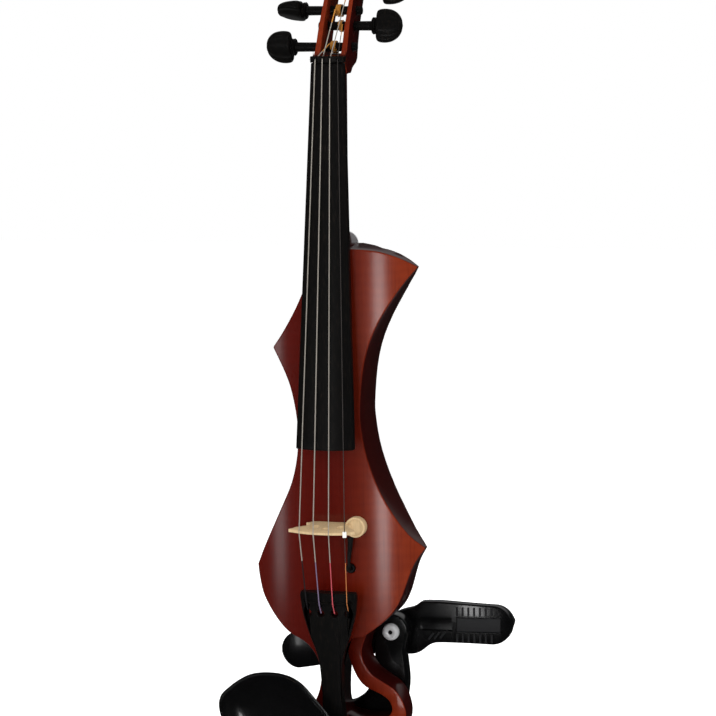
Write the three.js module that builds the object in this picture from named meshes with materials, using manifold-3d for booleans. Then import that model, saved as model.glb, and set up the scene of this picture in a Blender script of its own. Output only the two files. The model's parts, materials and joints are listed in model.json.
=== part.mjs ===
// An electric violin, upright: scroll up (+Z), strings to the front (-Y), treble side at +X.
// The origin is the centre of the end button's outer face. Sizes are in millimetres.
import * as THREE from 'three';
import { mergeVertices } from 'three/addons/utils/BufferGeometryUtils.js';
import Module from 'manifold-3d';

const wasm = await Module();
wasm.setup();

// Clearances
const fitGap = 0.3;
const overrun = 2;

// Body
const bodyLength = 356;
const bodyHalfWidth = 66;
const archHeight = 8;
const backDepth = 33;
const backFlatHalfWidth = 24;
const backEdgeDepth = 4;
const backRoundPower = 2.2;
const backLeastDepth = 2;
const shoulderDrop = 20;
const shoulderLength = 30;
const shoulderInner = 14;
const shoulderOuter = 36;
const plateSeat = 3;
const bandSeat = 6;

// Neck, fingerboard and strings
const neckLength = 130;
const bodyStopShare = 0.5562;
const boardLength = 270;
const boardNutWidth = 24;
const boardEndWidth = 42.4;
const boardEdge = 5;
const boardRadius = 42;
const boardOverstand = 2.2;
const boardRise = 17.2;
const boardHollow = 2;
const neckDepth = 14;
const heelHalfWidth = 11;
const heelFlare = 2.8;
const heelHeight = 34;
const tenonLength = 32;
const tenonHalfWidth = 10;
const tenonBack = 20;

// Nut, bridge and saddle
const nutDepth = 5;
const nutStand = 0.8;
const wallStep = 0.8;
const nutSpacing = 16.4;
const bridgeHeight = 33;
const bridgeSpacing = 34;
const bridgeFootThickness = 4.6;
const bridgeTopThickness = 1.6;
const bridgeHalfWidth = 20.5;
const bridgeTopHalfWidth = 21.2;
const bridgeRadius = 42;
const kidneyWidth = 3.4;
const kidneyHeight = 4.6;
const heartRadius = 3.2;
const puckRadius = 7.3;
const puckHeight = 6;
const puckRim = 1.6;
const puckRimStand = 1.2;
const saddleWidth = 30;
const saddleLength = 7;
const saddleHeight = 6;

// Strings, from bass to treble
const stringNames = ['g', 'd', 'a', 'e'];
const stringRadii = { g: 0.42, d: 0.42, a: 0.38, e: 0.28 };
const sleeveWall = 0.6;
const sleeveLength = 4;

// Tailpiece and end button
const tailClear = 1;
const tailpieceTopWidth = 42;
const tailpieceCrown = 8;
const tailpieceEdge = 4;
const afterLength = 43.5;
const tailSpacing = 30;
const keyholeRadius = 2.6;
const keyholeSlot = 1.3;
const keyholeInset = 15;
const fretInset = 7;
const fretHeight = 1.6;
const tailStand = 4;
const tailpieceLift = 4;
const gutHoleDepth = 8;
const gutRise = 5;
const tailgutRadius = 1.1;
const buttonReach = 10;
const buttonRadius = 8;
const buttonShank = 4;
const buttonShankLength = 12;
const buttonDepth = 14;
const buttonNeck = 4.8;

// Pegbox and pegs
const headLength = 105;
const pegboxHalfWidth = 12;
const pegboxTopHalfWidth = 10.5;
const pegboxWall = 4.4;
const pegboxStart = 5;
const pegboxHalfDepth = 13.4;
const neckChin = 4;
const pegboxEnd = 60;
const scrollRadius = 18;
const scrollDepth = 52;
const scrollEye = 6;
const scrollEyeReach = 16;
const scrollBandHalfWidth = 7;
const scrollStep = 2.5;
const pegShaftRadius = 3.4;
const pegTipRadius = 3.0;
const pegTipReach = 3;
const pegCollarRadius = 6.2;
const pegCollarLength = 3;
const pegHeadLength = 17.6;
const pegHeadHalfHeight = 12;
const pegHeadHalfThickness = 6.4;
const pegPipRadius = 1.9;
const pegPlaces = {
  g: { up: 10, back: 20, side: -1, reach: 18, coil: -1.5, turn: 20 },
  e: { up: 24.4, back: 27, side: 1, reach: 12.5, coil: 1.8, turn: -12 },
  d: { up: 35, back: 34, side: -1, reach: 13.7, coil: -1.5, turn: 62 },
  a: { up: 49, back: 43, side: 1, reach: 14, coil: 1.8, turn: -40 },
};
const coilLoops = 3;
const coilGap = 0.5;
const coilSteps = 24;
const coilSides = 6;

// Chinrest and its clamp
const chinTopGap = 26;
const chinThickness = 7;
const chinDish = 5;
const chinLeft = 83;
const chinRight = 9;
const chinTop = 67;
const chinBottom = 2;
const chinBarHalfLength = 35;
const chinBarWidth = 12;
const chinFootHalfWidth = 7;
const clampSpacing = 52;
const clampRodRadius = 2;
const barrelRadius = 3.6;
const barrelLength = 22;
const clampDrop = 6;
const clampRodLength = 16;
const lugBack = -14;
const chinSteps = 24;
const clampFootReach = 16;
const clampFootThickness = 4;

// Shoulder rest and its bracket
const bracketThickness = 12;
const bracketWall = 3;
const bossRadius = 12.8;
const boltAcross = 29;
const boltRiseShare = 0.2034;
const bracketClear = 5.7;
const boltRadius = 3;
const boltHeadRadius = 6.2;
const boltHeadHeight = 3.4;
const boltSocket = 2;
const restGap = 9;
const restThickness = 7;
const restSag = 9;
const restWall = 2.4;
const padThickness = 11;
const restRight = 97.7;
const restRadius = 14.5;
const recessStart = 14.7;
const recessLength = 24.8;
const recessHalf = 5;
const slideLength = 31.5;
const slideReach = 6.2;
const slideHalf = 5.1;
const postRadius = 5;
const ribCount = 6;
const ribWidth = 1.6;
const ribHeight = 1.4;

// Electronics
const coverThickness = 2;
const coverWidth = 46;
const coverHeight = 86;
const coverRiseShare = 0.3933;
const coverAcross = -1;
const coverLedge = 6;
const cavityDepth = 22;
const screwRadius = 1.3;
const screwHeadRadius = 2.7;
const screwHeadHeight = 1.5;
const screwLength = 8;
const screwInset = 4;
const knobRadius = 8;
const knobHeight = 9;
const knobSpacing = 34;
const potRadius = 8;
const potHeight = 7;
const shaftRadius = 3;
const shaftReach = 8;
const boardThickness = 1.6;
const batteryGap = 2;
const batteryWidth = 26.2;
const batteryLength = 48.5;
const batteryThickness = 17.5;
const boxWall = 1.5;
const boxFlange = 3;
const flangeThickness = 1.5;
const doorThickness = 1.8;
const doorPinRadius = 0.7;
const jackRiseShare = 0.455;
const jackAcrossShare = 0.62;
const jackDepth = 11.6;
const jackRadius = 6;
const jackBore = 3.3;
const jackFlange = 8;
const jackFlangeThickness = 2;
const jackLength = 30;
const phonesAcrossShare = 0.7;
const socketGap = 3;
const phonesRadius = 4;
const phonesBore = 1.8;
const phonesFlange = 5.6;
const grommetRadius = 3.2;
const leadRadius = 1.2;
const leadAcross = 11.5;
const leadDrop = 13;
const heelDiscRadius = 8.9;
const heelDiscRise = -0.8;
const heelDiscThickness = 2.5;

// Stations along the violin
const bodyBottom = buttonReach;
const bodyTop = bodyBottom + bodyLength;
const nutAlong = bodyTop + neckLength;
const bridgeAlong = bodyTop - bodyStopShare * bodyLength;
const boardEndAlong = nutAlong - boardLength;
const across = (share) => share * bodyHalfWidth;
const along = (share) => bodyBottom + share * bodyLength;
const boxHalfWidth = batteryWidth / 2 + fitGap + boxWall;
const boxHalfLength = batteryLength / 2 + fitGap + boxWall;
const batteryAlong = bodyTop - tenonLength - batteryGap - boxHalfLength;
const coverAlong = along(coverRiseShare);
const leadAlong = coverAlong - leadDrop;
const jackAlong = along(jackRiseShare);
const phonesAlong = jackAlong - jackFlange - phonesFlange - socketGap;
const boltAlong = along(boltRiseShare);

// Outlines, as shares of the body's half width and length
const trebleShoulderShares = [[0.2, 1], [0.4, 0.998], [0.575, 0.993], [0.778, 0.98], [0.95, 0.964]];
const trebleWaistShares = [
  [0.95, 0.964], [0.736, 0.916], [0.497, 0.844], [0.364, 0.774], [0.31, 0.69],
  [0.316, 0.643], [0.38, 0.579], [0.538, 0.503], [0.78, 0.433], [0.986, 0.4],
];
const trebleBoutShares = [[0.986, 0.4], [0.85, 0.362], [0.723, 0.299], [0.616, 0.265], [0.46, 0.238],
  [0.284, 0.215]];
const plateEndShares = [[0.284, 0.215], [0.16, 0.211], [0.07, 0.197], [0.01, 0.17], [-0.015, 0.12],
  [-0.02, 0.066]];
const plateFootShares = [[-0.02, 0.066], [0.05, 0.04], [0.28, 0.036]];
const stemShares = [
  [-0.48, 0.02], [-0.38, 0.044], [-0.24, 0.087], [-0.19, 0.12], [-0.19, 0.141], [-0.231, 0.171],
    [-0.354, 0.199],
  [-0.55, 0.218], [-0.7, 0.246], [-0.84, 0.288], [-0.893, 0.325], [-0.912, 0.354],
];
const bassWaistShares = [
  [-0.912, 0.354], [-0.815, 0.396], [-0.617, 0.472], [-0.48, 0.529], [-0.409, 0.59], [-0.406, 0.65],
  [-0.464, 0.711], [-0.544, 0.752], [-0.672, 0.799],
];
const bassShoulderShares = [[-0.672, 0.799], [-0.54, 0.834], [-0.376, 0.887], [-0.26, 0.94], [-0.21, 1]];
const bandOuterShares = [
  [0.284, 0.215], [0.232, 0.19], [0.22, 0.17], [0.252, 0.151], [0.328, 0.131], [0.455, 0.116], [0.58, 0.102],
  [0.672, 0.079], [0.71, 0.048], [0.64, 0.013], [0.45, 0],
];
const tailHoleShares = [
  [0.064, 0.193], [0.02, 0.17], [-0.02, 0.12], [-0.02, 0.06], [0.08, 0.04], [0.3, 0.038], [0.47, 0.041],
  [0.55, 0.057], [0.522, 0.077], [0.42, 0.091], [0.252, 0.105], [0.155, 0.126], [0.088, 0.155],
    [0.062, 0.174],
];
const tailpieceShares = [
  [0.235, 0], [0.2, 0.1], [0.178, 0.24], [0.186, 0.42], [0.205, 0.52], [0.26, 0.6], [0.36, 0.71],
  [0.452, 0.83], [0.488, 0.92], [0.5, 0.975],
];
const chinShares = [
  [0.06, 0.698], [0.136, 0.805], [0.219, 0.891], [0.302, 0.95], [0.39, 0.978], [0.482, 0.984], [0.563, 0.973],
  [0.652, 0.935], [0.739, 0.853], [0.842, 0.693], [0.921, 0.565], [0.985, 0.42], [1, 0.28], [0.94, 0.13],
  [0.76, 0.03], [0.52, 0], [0.3, 0.07], [0.15, 0.21], [0.075, 0.38], [0.04, 0.56],
];
const bracketInnerShares = [
  [-3.2, -0.982], [-3.03, -0.89], [-2.31, -0.853], [-1.5, -0.716], [-1.13, -0.514], [-1.01, -0.275], [-1, 0],
];
const bracketOuterShares = [
  [1, 0], [0.79, -0.15], [0.73, -0.25], [0.805, -0.389], [0.875, -0.579], [0.79, -0.75], [0.6, -0.9],
    [-0.15, -1],
];
// The shoulder rest: shares of its reach, then of its round end for the middle line and the half width
const restShares = [
  [-0.523, -1.697, 0.938], [-0.307, -1.545, 0.759], [-0.051, -1.097, 0.621], [0.154, -0.648, 0.897],
    [0.307, -0.372, 1.124],
  [0.409, -0.248, 1.214], [0.471, -0.014, 1.262], [0.537, 0.172, 1.103], [0.614, 0.228, 1.055],
    [0.819, 0.186, 1.014], [1, 0.131, 1],
];
const spline = (shape, shares, place) => {
  shape.splineThru(shares.slice(1).map((point) => place(...point)));
  return shape;
};

// The heel from the body up to the neck: share of its height, of its flare and of its depth
const heelShares = [[0, 0, 1], [0.09, 0, 0.98], [0.24, 0.3, 0.7], [0.41, 0.8, 0.34], [0.65, 1, 0.1],
  [1, 0.85, 0.045]];

// Depth (Y) of the straight line that the fingerboard lies on, at a height along the violin
const boardSlope = boardRise / (bodyTop - bridgeAlong);
const seatDepth = (height) => -(archHeight + boardOverstand) - boardSlope * (bodyTop - height);
const archDepth = (x) => -archHeight * (1 - (x / bodyHalfWidth) ** 2);

// Depth of the back: full along the middle, less towards the edges and beside the heel at the upper end
function backAt(x, height) {
  const out = Math.max(Math.abs(x) - backFlatHalfWidth, 0) / (bodyHalfWidth - backFlatHalfWidth);
  const up = THREE.MathUtils.clamp((height - bodyTop) / shoulderLength + 1, 0, 1);
  const beside = THREE.MathUtils.smoothstep(Math.abs(x), shoulderInner, shoulderOuter);
  const depth = backDepth - (backDepth - backEdgeDepth) * out ** backRoundPower - shoulderDrop * beside * up ** backRoundPower;
  return Math.max(depth, archDepth(x) + backLeastDepth);
}

// Drops collapsed faces, and turns the faces of a closed surface outward
function closed(geometry) {
  const bare = geometry.clone();
  bare.deleteAttribute('normal');
  bare.deleteAttribute('uv');
  const merged = mergeVertices(bare, 1e-4);
  const places = merged.attributes.position;
  const corner = (index) => new THREE.Vector3().fromBufferAttribute(places, index);
  const faces = [];
  let volume = 0;
  for (let i = 0; i < merged.index.count; i += 3) {
    const [a, b, c] = [merged.index.getX(i), merged.index.getX(i + 1), merged.index.getX(i + 2)];
    if (a === b || b === c || c === a) continue;
    faces.push([a, b, c]);
    volume += corner(a).dot(corner(b).cross(corner(c)));
  }
  const turned = volume < 0 ? faces.map(([a, b, c]) => [a, c, b]) : faces;
  merged.setIndex(turned.flat());
  return merged;
}

// A solid for joining and cutting, and its surface back again
function solid(geometry) {
  const tidy = closed(geometry);
  return new wasm.Manifold(new wasm.Mesh({
    numProp: 3,
    vertProperties: Float32Array.from(tidy.attributes.position.array),
    triVerts: Uint32Array.from(tidy.index.array),
  }));
}

function surface(body) {
  const mesh = body.getMesh();
  const geometry = new THREE.BufferGeometry();
  geometry.setAttribute('position', new THREE.BufferAttribute(mesh.vertProperties, 3));
  geometry.setIndex(Array.from(mesh.triVerts));
  return geometry;
}

const joined = (bodies) => bodies.reduce((whole, body) => whole.add(body));
const cut = (body, tools) => tools.reduce((rest, tool) => rest.subtract(tool), body);

// A flat outline made thick along Y, along X, or along Z
function slabFacingFront(shape, front, back, steps = 6) {
  const slab = new THREE.ExtrudeGeometry(shape,
    { depth: back - front, bevelEnabled: false, curveSegments: steps });
  return slab.rotateX(Math.PI / 2).translate(0, back, 0);
}

function slabFacingSide(shape, left, right, steps = 6) {
  const slab = new THREE.ExtrudeGeometry(shape,
    { depth: right - left, bevelEnabled: false, curveSegments: steps });
  const turn = new THREE.Matrix4().set(0, 0, 1, 0, 1, 0, 0, 0, 0, 1, 0, 0, 0, 0, 0, 1);
  return slab.applyMatrix4(turn).translate(left, 0, 0);
}

function slabFacingUp(shape, bottom, top, steps = 6) {
  const slab = new THREE.ExtrudeGeometry(shape,
    { depth: top - bottom, bevelEnabled: false, curveSegments: steps });
  return slab.translate(0, 0, bottom);
}

// A block between two corners
function block(x0, x1, y0, y1, z0, z1) {
  const box = new THREE.BoxGeometry(x1 - x0, y1 - y0, z1 - z0);
  return box.translate((x0 + x1) / 2, (y0 + y1) / 2, (z0 + z1) / 2);
}

// A turned piece: a profile of [radius, reach], its axis along X, Y or Z
function turned(profile, axis, sides = 28) {
  const lathe = new THREE.LatheGeometry(profile.map(([r, h]) => new THREE.Vector2(r, h)), sides);
  if (axis === 'z') return lathe.rotateX(Math.PI / 2);
  if (axis === 'x') return lathe.rotateZ(-Math.PI / 2);
  return lathe;
}

const rod = (radius, start, end, axis, sides) =>
  turned([[0, start], [radius, start], [radius, end], [0, end]], axis, sides);

// A skin over rings of points that follow each other, closed at both ends
function loft(rings) {
  const size = rings[0].length;
  const places = rings.flat();
  const faces = [];
  for (let i = 0; i + 1 < rings.length; i += 1) {
    for (let j = 0; j < size; j += 1) {
      const [a, b] = [i * size + j, i * size + (j + 1) % size];
      faces.push(a, b, b + size, a, b + size, a + size);
    }
  }
  [rings[0], rings[rings.length - 1]].forEach((ring, end) => {
    const middle = ring.reduce((sum, p) => sum.clone().add(p), new THREE.Vector3()).divideScalar(size);
    const hub = places.push(middle) - 1;
    const first = end === 0 ? 0 : (rings.length - 1) * size;
    for (let j = 0; j < size; j += 1) {
      const [a, b] = [first + j, first + (j + 1) % size];
      faces.push(...(end === 0 ? [hub, b, a] : [hub, a, b]));
    }
  });
  const geometry = new THREE.BufferGeometry().setFromPoints(places);
  geometry.setIndex(faces);
  return geometry;
}

// A round tube through points, its rings square to the bisector at each bend
function tube(points, radius, sides = 8) {
  const along3 = points.map((p, i) => {
    const before = points[Math.max(i - 1, 0)];
    const after = points[Math.min(i + 1, points.length - 1)];
    return after.clone().sub(before).normalize();
  });
  let normal = new THREE.Vector3(1, 0, 0);
  if (Math.abs(along3[0].x) > 0.8) normal = new THREE.Vector3(0, 0, 1);
  const radii = Array.isArray(radius) ? radius : points.map(() => radius);
  return loft(points.map((p, i) => {
    normal = normal.clone().addScaledVector(along3[i], -normal.dot(along3[i])).normalize();
    const side = along3[i].clone().cross(normal);
    return Array.from({ length: sides }, (_, k) => {
      const angle = (2 * Math.PI * k) / sides;
      return p.clone().addScaledVector(normal, radii[i] * Math.cos(angle))
        .addScaledVector(side, radii[i] * Math.sin(angle));
    });
  }));
}

const point = (x, y, z) => new THREE.Vector3(x, y, z);

// Finishes
const finish = (colour, roughness, metalness = 0) =>
  new THREE.MeshStandardMaterial({ color: colour, roughness, metalness });
const redMaple = () => finish(0x6e2410, 0.3);
const darkMaple = () => finish(0x4a160c, 0.35);
const ebony = () => finish(0x15120f, 0.4);
const bridgeMaple = () => finish(0xd9bd8c, 0.6);
const blackPlastic = () => finish(0x101011, 0.3);
const steel = () => finish(0xb9bbbd, 0.25, 1);
const wire = () => finish(0xa8a69c, 0.35, 1);
const silk = (colour) => finish(colour, 0.8);
const foam = () => finish(0x1b1b1c, 0.95);

const violin = new THREE.Group();
function node(name, geometry, material, parent = violin) {
  const mesh = new THREE.Mesh(geometry, material);
  mesh.name = name;
  parent.add(mesh);
  return mesh;
}

// Body: an arched block, crowned in front and rounded off to the edges behind
const bodyPlace = (a, l) => new THREE.Vector2(across(a), along(l));

const backStations = [1, 0.93, 0.84, 0.74, 0.63, 0.5, 0.36, 0.21];
const shoulderStations = [0, 0.35, 0.6, 0.8, 1];
function archedBlock(forward) {
  const steps = 14;
  const heights = [bodyBottom - overrun, ...shoulderStations.map((share) =>
    bodyTop - shoulderLength * (1 - share)),
    bodyTop + overrun];
  return solid(loft(heights.map((height) => {
    const front = Array.from({ length: steps + 1 }, (_, i) => {
      const x = bodyHalfWidth * (-1 + (2 * i) / steps);
      return point(x, archDepth(x) - forward, height);
    });
    const behind = (share) => point(share * bodyHalfWidth, backAt(share * bodyHalfWidth, height), height);
    return [...front, ...backStations.map(behind), ...backStations.map((share) => behind(-share)).reverse()];
  })));
}

function trebleSide(shape) {
  shape.moveTo(...bodyPlace(...trebleShoulderShares[0]).toArray());
  spline(shape, trebleShoulderShares, bodyPlace);
  spline(shape, trebleWaistShares, bodyPlace);
  spline(shape, trebleBoutShares, bodyPlace);
}

function bassSide(shape) {
  shape.lineTo(...bodyPlace(...stemShares[0]).toArray());
  spline(shape, stemShares, bodyPlace);
  spline(shape, bassWaistShares, bodyPlace);
  spline(shape, bassShoulderShares, bodyPlace);
}

function plateOutline() {
  const shape = new THREE.Shape();
  trebleSide(shape);
  spline(shape, plateEndShares, bodyPlace);
  spline(shape, plateFootShares, bodyPlace);
  shape.lineTo(bodyPlace(0.28, 0).x, bodyBottom);
  shape.lineTo(bodyPlace(-0.48, 0).x, bodyBottom);
  bassSide(shape);
  return shape;
}

function frameOutline() {
  const shape = new THREE.Shape();
  trebleSide(shape);
  spline(shape, bandOuterShares, bodyPlace);
  shape.lineTo(bodyPlace(-0.48, 0).x, bodyBottom);
  bassSide(shape);
  const hole = new THREE.Path();
  hole.moveTo(...bodyPlace(...tailHoleShares[0]).toArray());
  spline(hole, [...tailHoleShares, tailHoleShares[0]], bodyPlace);
  shape.holes.push(hole);
  return shape;
}

const outlineSteps = 3;
const crown = archedBlock(0);
const crownClear = archedBlock(fitGap);
const backFace = backDepth;

// Neck pocket, cavities and bores in the body
const tenonPocket = solid(block(-tenonHalfWidth - fitGap, tenonHalfWidth + fitGap, -archHeight - overrun,
  tenonBack + fitGap, bodyTop - tenonLength - fitGap, bodyTop + overrun));
const coverLeft = coverAcross - coverWidth / 2;
const coverRight = coverAcross + coverWidth / 2;
const coverBottom = coverAlong - coverHeight / 2;
const coverTop = coverAlong + coverHeight / 2;
const cavityFront = backFace - cavityDepth;
const coverRecess = solid(block(coverLeft - fitGap, coverRight + fitGap, backFace - coverThickness - fitGap,
  backFace + overrun, coverBottom - fitGap, coverTop + fitGap));
const cavity = solid(block(coverLeft + coverLedge, coverRight - coverLedge, cavityFront, backFace,
  coverBottom + coverLedge, coverTop - coverLedge));
const boxDepth = batteryThickness + doorThickness + 2 * fitGap + boxWall;
const boxPocket = solid(block(-boxHalfWidth - fitGap, boxHalfWidth + fitGap, backFace - boxDepth - fitGap,
  backFace + overrun, batteryAlong - boxHalfLength - fitGap, batteryAlong + boxHalfLength + fitGap));
const boreEnd = (face) => Math.max(face + jackLength + fitGap, coverLeft + coverLedge + overrun);
const jackFace = -across(jackAcrossShare);
const phonesFace = -across(phonesAcrossShare);
const boreStart = -bodyHalfWidth - overrun;
const boreAcross = (radius, height, depth, from, to) =>
  solid(rod(radius, from, to, 'x', 16).translate(0, depth, height));
const jackBoreCut = boreAcross(jackRadius + fitGap, jackAlong, jackDepth, boreStart, boreEnd(jackFace));
const jackSpot = boreAcross(jackFlange + fitGap, jackAlong, jackDepth, boreStart, jackFace);
const phonesBoreCut = boreAcross(phonesRadius + fitGap, phonesAlong, jackDepth, boreStart,
  boreEnd(phonesFace));
const phonesSpot = boreAcross(phonesFlange + fitGap, phonesAlong, jackDepth, boreStart, phonesFace);
const leadBore = solid(rod(grommetRadius + fitGap, -archHeight - overrun, cavityFront + overrun, 'y', 12)
  .translate(leadAcross, 0, leadAlong));
const buttonBore = solid(rod(buttonShank + fitGap, bodyBottom - overrun,
  bodyBottom + buttonShankLength + fitGap, 'z', 16)
  .translate(0, buttonDepth, 0));
const screwPlaces = [[-1, -1], [1, -1], [-1, 1], [1, 1]].map(([sx, sz]) => ({
  x: coverAcross + sx * (coverWidth / 2 - screwInset),
  z: coverAlong + sz * (coverHeight / 2 - screwInset),
}));
const screwBores = screwPlaces.map(({ x, z }) =>
  solid(rod(screwRadius + fitGap, backFace - screwLength - overrun, backFace, 'y', 8).translate(x, 0, z)));
const saddleNotch = solid(block(-saddleWidth / 2 - fitGap, saddleWidth / 2 + fitGap, -archHeight - overrun,
  plateSeat,
  bodyBottom - overrun, bodyBottom + saddleLength + fitGap));

const plateSolid = cut(
  solid(slabFacingFront(plateOutline(), -archHeight - overrun, plateSeat, outlineSteps)).intersect(crown),
  [tenonPocket, leadBore, saddleNotch]);
node('top_plate', surface(plateSolid), redMaple());

const frameSolid = cut(
  joined([
    solid(slabFacingFront(frameOutline(), bandSeat, backDepth + overrun, outlineSteps)),
    solid(slabFacingFront(plateOutline(), plateSeat, bandSeat + overrun, outlineSteps)),
  ]).intersect(crown),
  [tenonPocket, coverRecess, cavity, boxPocket, jackBoreCut, jackSpot, phonesBoreCut, phonesSpot, leadBore,
    buttonBore, ...screwBores]);
node('body_frame', surface(frameSolid), darkMaple());

// Neck: a half-round shaft that swells into the heel, a tenon in the body, and the pegbox with its scroll
function neckSection(height, halfWidth, depth, seat = seatDepth(height)) {
  const steps = 9;
  const ring = [];
  for (let i = 0; i <= steps; i += 1) {
    const angle = Math.PI * (i / steps);
    ring.push(point(halfWidth * Math.cos(angle), seat + depth * Math.sin(angle) ** 0.85, height));
  }
  return ring;
}

const heelDepth = backDepth - seatDepth(bodyTop);
const neckShaft = solid(loft([
  ...heelShares.map(([rise, flare, depth]) => neckSection(bodyTop + fitGap + rise * heelHeight,
    heelHalfWidth + flare * heelFlare, THREE.MathUtils.lerp(neckDepth, heelDepth, depth))),
  neckSection(nutAlong - nutDepth, boardNutWidth / 2, neckDepth),
  neckSection(nutAlong + nutDepth / 2, boardNutWidth / 2, neckDepth + overrun),
]));
const tenon = solid(block(-tenonHalfWidth, tenonHalfWidth, -archHeight + fitGap, tenonBack,
  bodyTop - tenonLength, bodyTop + 2 * fitGap));

const pegAlong = (name) => nutAlong + pegPlaces[name].up;
const pegBack = (name) => pegPlaces[name].back;
const scrollAlong = nutAlong + headLength - scrollRadius;

function headOutline() {
  const nutSeat = seatDepth(nutAlong);
  const place = (up, depth) => new THREE.Vector2(depth, nutAlong + up);
  const front = [
    place(nutDepth, nutSeat + wallStep), place(pegPlaces.g.up, pegBack('g') - pegboxHalfDepth),
    place(pegPlaces.e.up, pegBack('e') - pegboxHalfDepth),
      place(pegPlaces.d.up, pegBack('d') - pegboxHalfDepth),
    place(pegPlaces.a.up, pegBack('a') - pegboxHalfDepth),
      place(pegboxEnd, scrollDepth - scrollRadius + wallStep),
    place(headLength - scrollRadius, scrollDepth - scrollRadius),
  ];
  const back = [
    place(headLength - scrollRadius, scrollDepth + scrollRadius),
      place(pegboxEnd, pegBack('a') + pegboxHalfDepth + neckChin),
    place(pegPlaces.a.up, pegBack('a') + pegboxHalfDepth),
      place(pegPlaces.d.up, pegBack('d') + pegboxHalfDepth),
    place(pegPlaces.e.up, pegBack('e') + pegboxHalfDepth),
      place(pegPlaces.g.up, pegBack('g') + pegboxHalfDepth),
    place(0, pegBack('g') + pegboxHalfDepth - neckChin), place(-neckChin, nutSeat + neckDepth + neckChin),
    place(-2 * neckChin, nutSeat + neckDepth - wallStep),
  ];
  const shape = new THREE.Shape();
  shape.moveTo(nutSeat, nutAlong - 2 * neckChin);
  shape.lineTo(nutSeat, nutAlong + nutDepth);
  shape.lineTo(front[0].x, front[0].y);
  shape.splineThru(front.slice(1));
  shape.lineTo(back[0].x, back[0].y);
  shape.splineThru(back.slice(1));
  return shape;
}

const headWedge = solid(loft([
  [-3 * neckChin, pegboxHalfWidth], [0, pegboxHalfWidth], [pegboxEnd, pegboxTopHalfWidth],
  [headLength, scrollBandHalfWidth],
].map(([up, halfWidth]) => [
  point(-halfWidth, -overrun * 4, nutAlong + up), point(halfWidth, -overrun * 4, nutAlong + up),
  point(halfWidth, scrollDepth + 2 * scrollRadius, nutAlong + up),
    point(-halfWidth, scrollDepth + 2 * scrollRadius, nutAlong + up),
])));
const headSlab = solid(slabFacingSide(headOutline(), -pegboxHalfWidth - overrun, pegboxHalfWidth + overrun,
  2)).intersect(headWedge);
const scroll = solid(turned([
  [0, -scrollEyeReach], [scrollEye, -scrollEyeReach], [scrollEye + scrollStep, -scrollEyeReach + scrollStep],
  [scrollRadius - 2 * scrollStep, -scrollEyeReach + 1.5 * scrollStep],
    [scrollRadius - scrollStep, -scrollBandHalfWidth],
  [scrollRadius, -scrollBandHalfWidth], [scrollRadius, scrollBandHalfWidth],
    [scrollRadius - scrollStep, scrollBandHalfWidth],
  [scrollRadius - 2 * scrollStep, scrollEyeReach - 1.5 * scrollStep],
  [scrollEye + scrollStep, scrollEyeReach - scrollStep], [scrollEye, scrollEyeReach], [0, scrollEyeReach],
], 'x', 20).translate(0, scrollDepth, scrollAlong));
const pegboxHollow = solid(block(-pegboxHalfWidth + pegboxWall, pegboxHalfWidth - pegboxWall,
  -overrun * 5, scrollDepth + 2 * scrollRadius, nutAlong + pegboxStart, nutAlong + pegboxEnd));
const pegTip = -pegboxHalfWidth - pegTipReach;
const pegShoulder = (name) => pegboxHalfWidth + pegPlaces[name].reach;
const pegRadius = (name, at) => THREE.MathUtils.mapLinear(at, pegTip, pegShoulder(name), pegTipRadius,
  pegShaftRadius);
const pegBores = Object.entries(pegPlaces).map(([name, { side }]) => {
  const [from, to] = [pegTip - overrun, pegShoulder(name)];
  const bore = turned([[0, from], [pegRadius(name, from) + fitGap, from],
    [pegRadius(name, to) + fitGap, to], [0, to]], 'x', 12);
  return solid(bore.rotateZ(side > 0 ? 0 : Math.PI).translate(0, pegBack(name), pegAlong(name)));
});
const neckSolid = cut(joined([neckShaft, tenon, headSlab, scroll]), [pegboxHollow, ...pegBores]);
node('neck', surface(neckSolid), darkMaple());

const heelDisc = turned([[0, 0], [heelDiscRadius, 0], [heelDiscRadius, heelDiscThickness - 0.6 * fitGap],
  [heelDiscRadius - 2 * fitGap, heelDiscThickness], [0, heelDiscThickness]], 'y', 28);
node('heel_disc', surface(solid(heelDisc.translate(0, backDepth + fitGap, bodyTop + heelDiscRise))), steel());

// Fingerboard: tapered, crowned on one radius and hollowed under its free end
function boardSection(height, shrink = 0) {
  const share = (nutAlong - height) / boardLength;
  const halfWidth = THREE.MathUtils.lerp(boardNutWidth, boardEndWidth, share) / 2 - shrink;
  const seat = seatDepth(height);
  const drop = (x) => boardRadius - Math.sqrt(boardRadius ** 2 - x ** 2);
  const steps = 12;
  const ring = [point(halfWidth, seat, height), point(-halfWidth, seat, height)];
  for (let i = 0; i <= steps; i += 1) {
    const x = halfWidth * (-1 + (2 * i) / steps);
    ring.push(point(x, seat - boardEdge - drop(halfWidth) + drop(x), height));
  }
  return ring;
}
const boardBlank = solid(loft([nutAlong, boardEndAlong].map((height) => boardSection(height))));
const hollowTop = (height) => seatDepth(height) + boardRadius - boardEdge - boardHollow;
const boardHollowCut = solid(tube([boardEndAlong - overrun, bodyTop - tenonLength]
  .map((height) => point(0, hollowTop(height), height)), boardRadius - boardEdge, 48));
const boardSolid = boardBlank.subtract(boardHollowCut);
node('fingerboard', surface(boardSolid).translate(0, -fitGap, 0), ebony());

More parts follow.
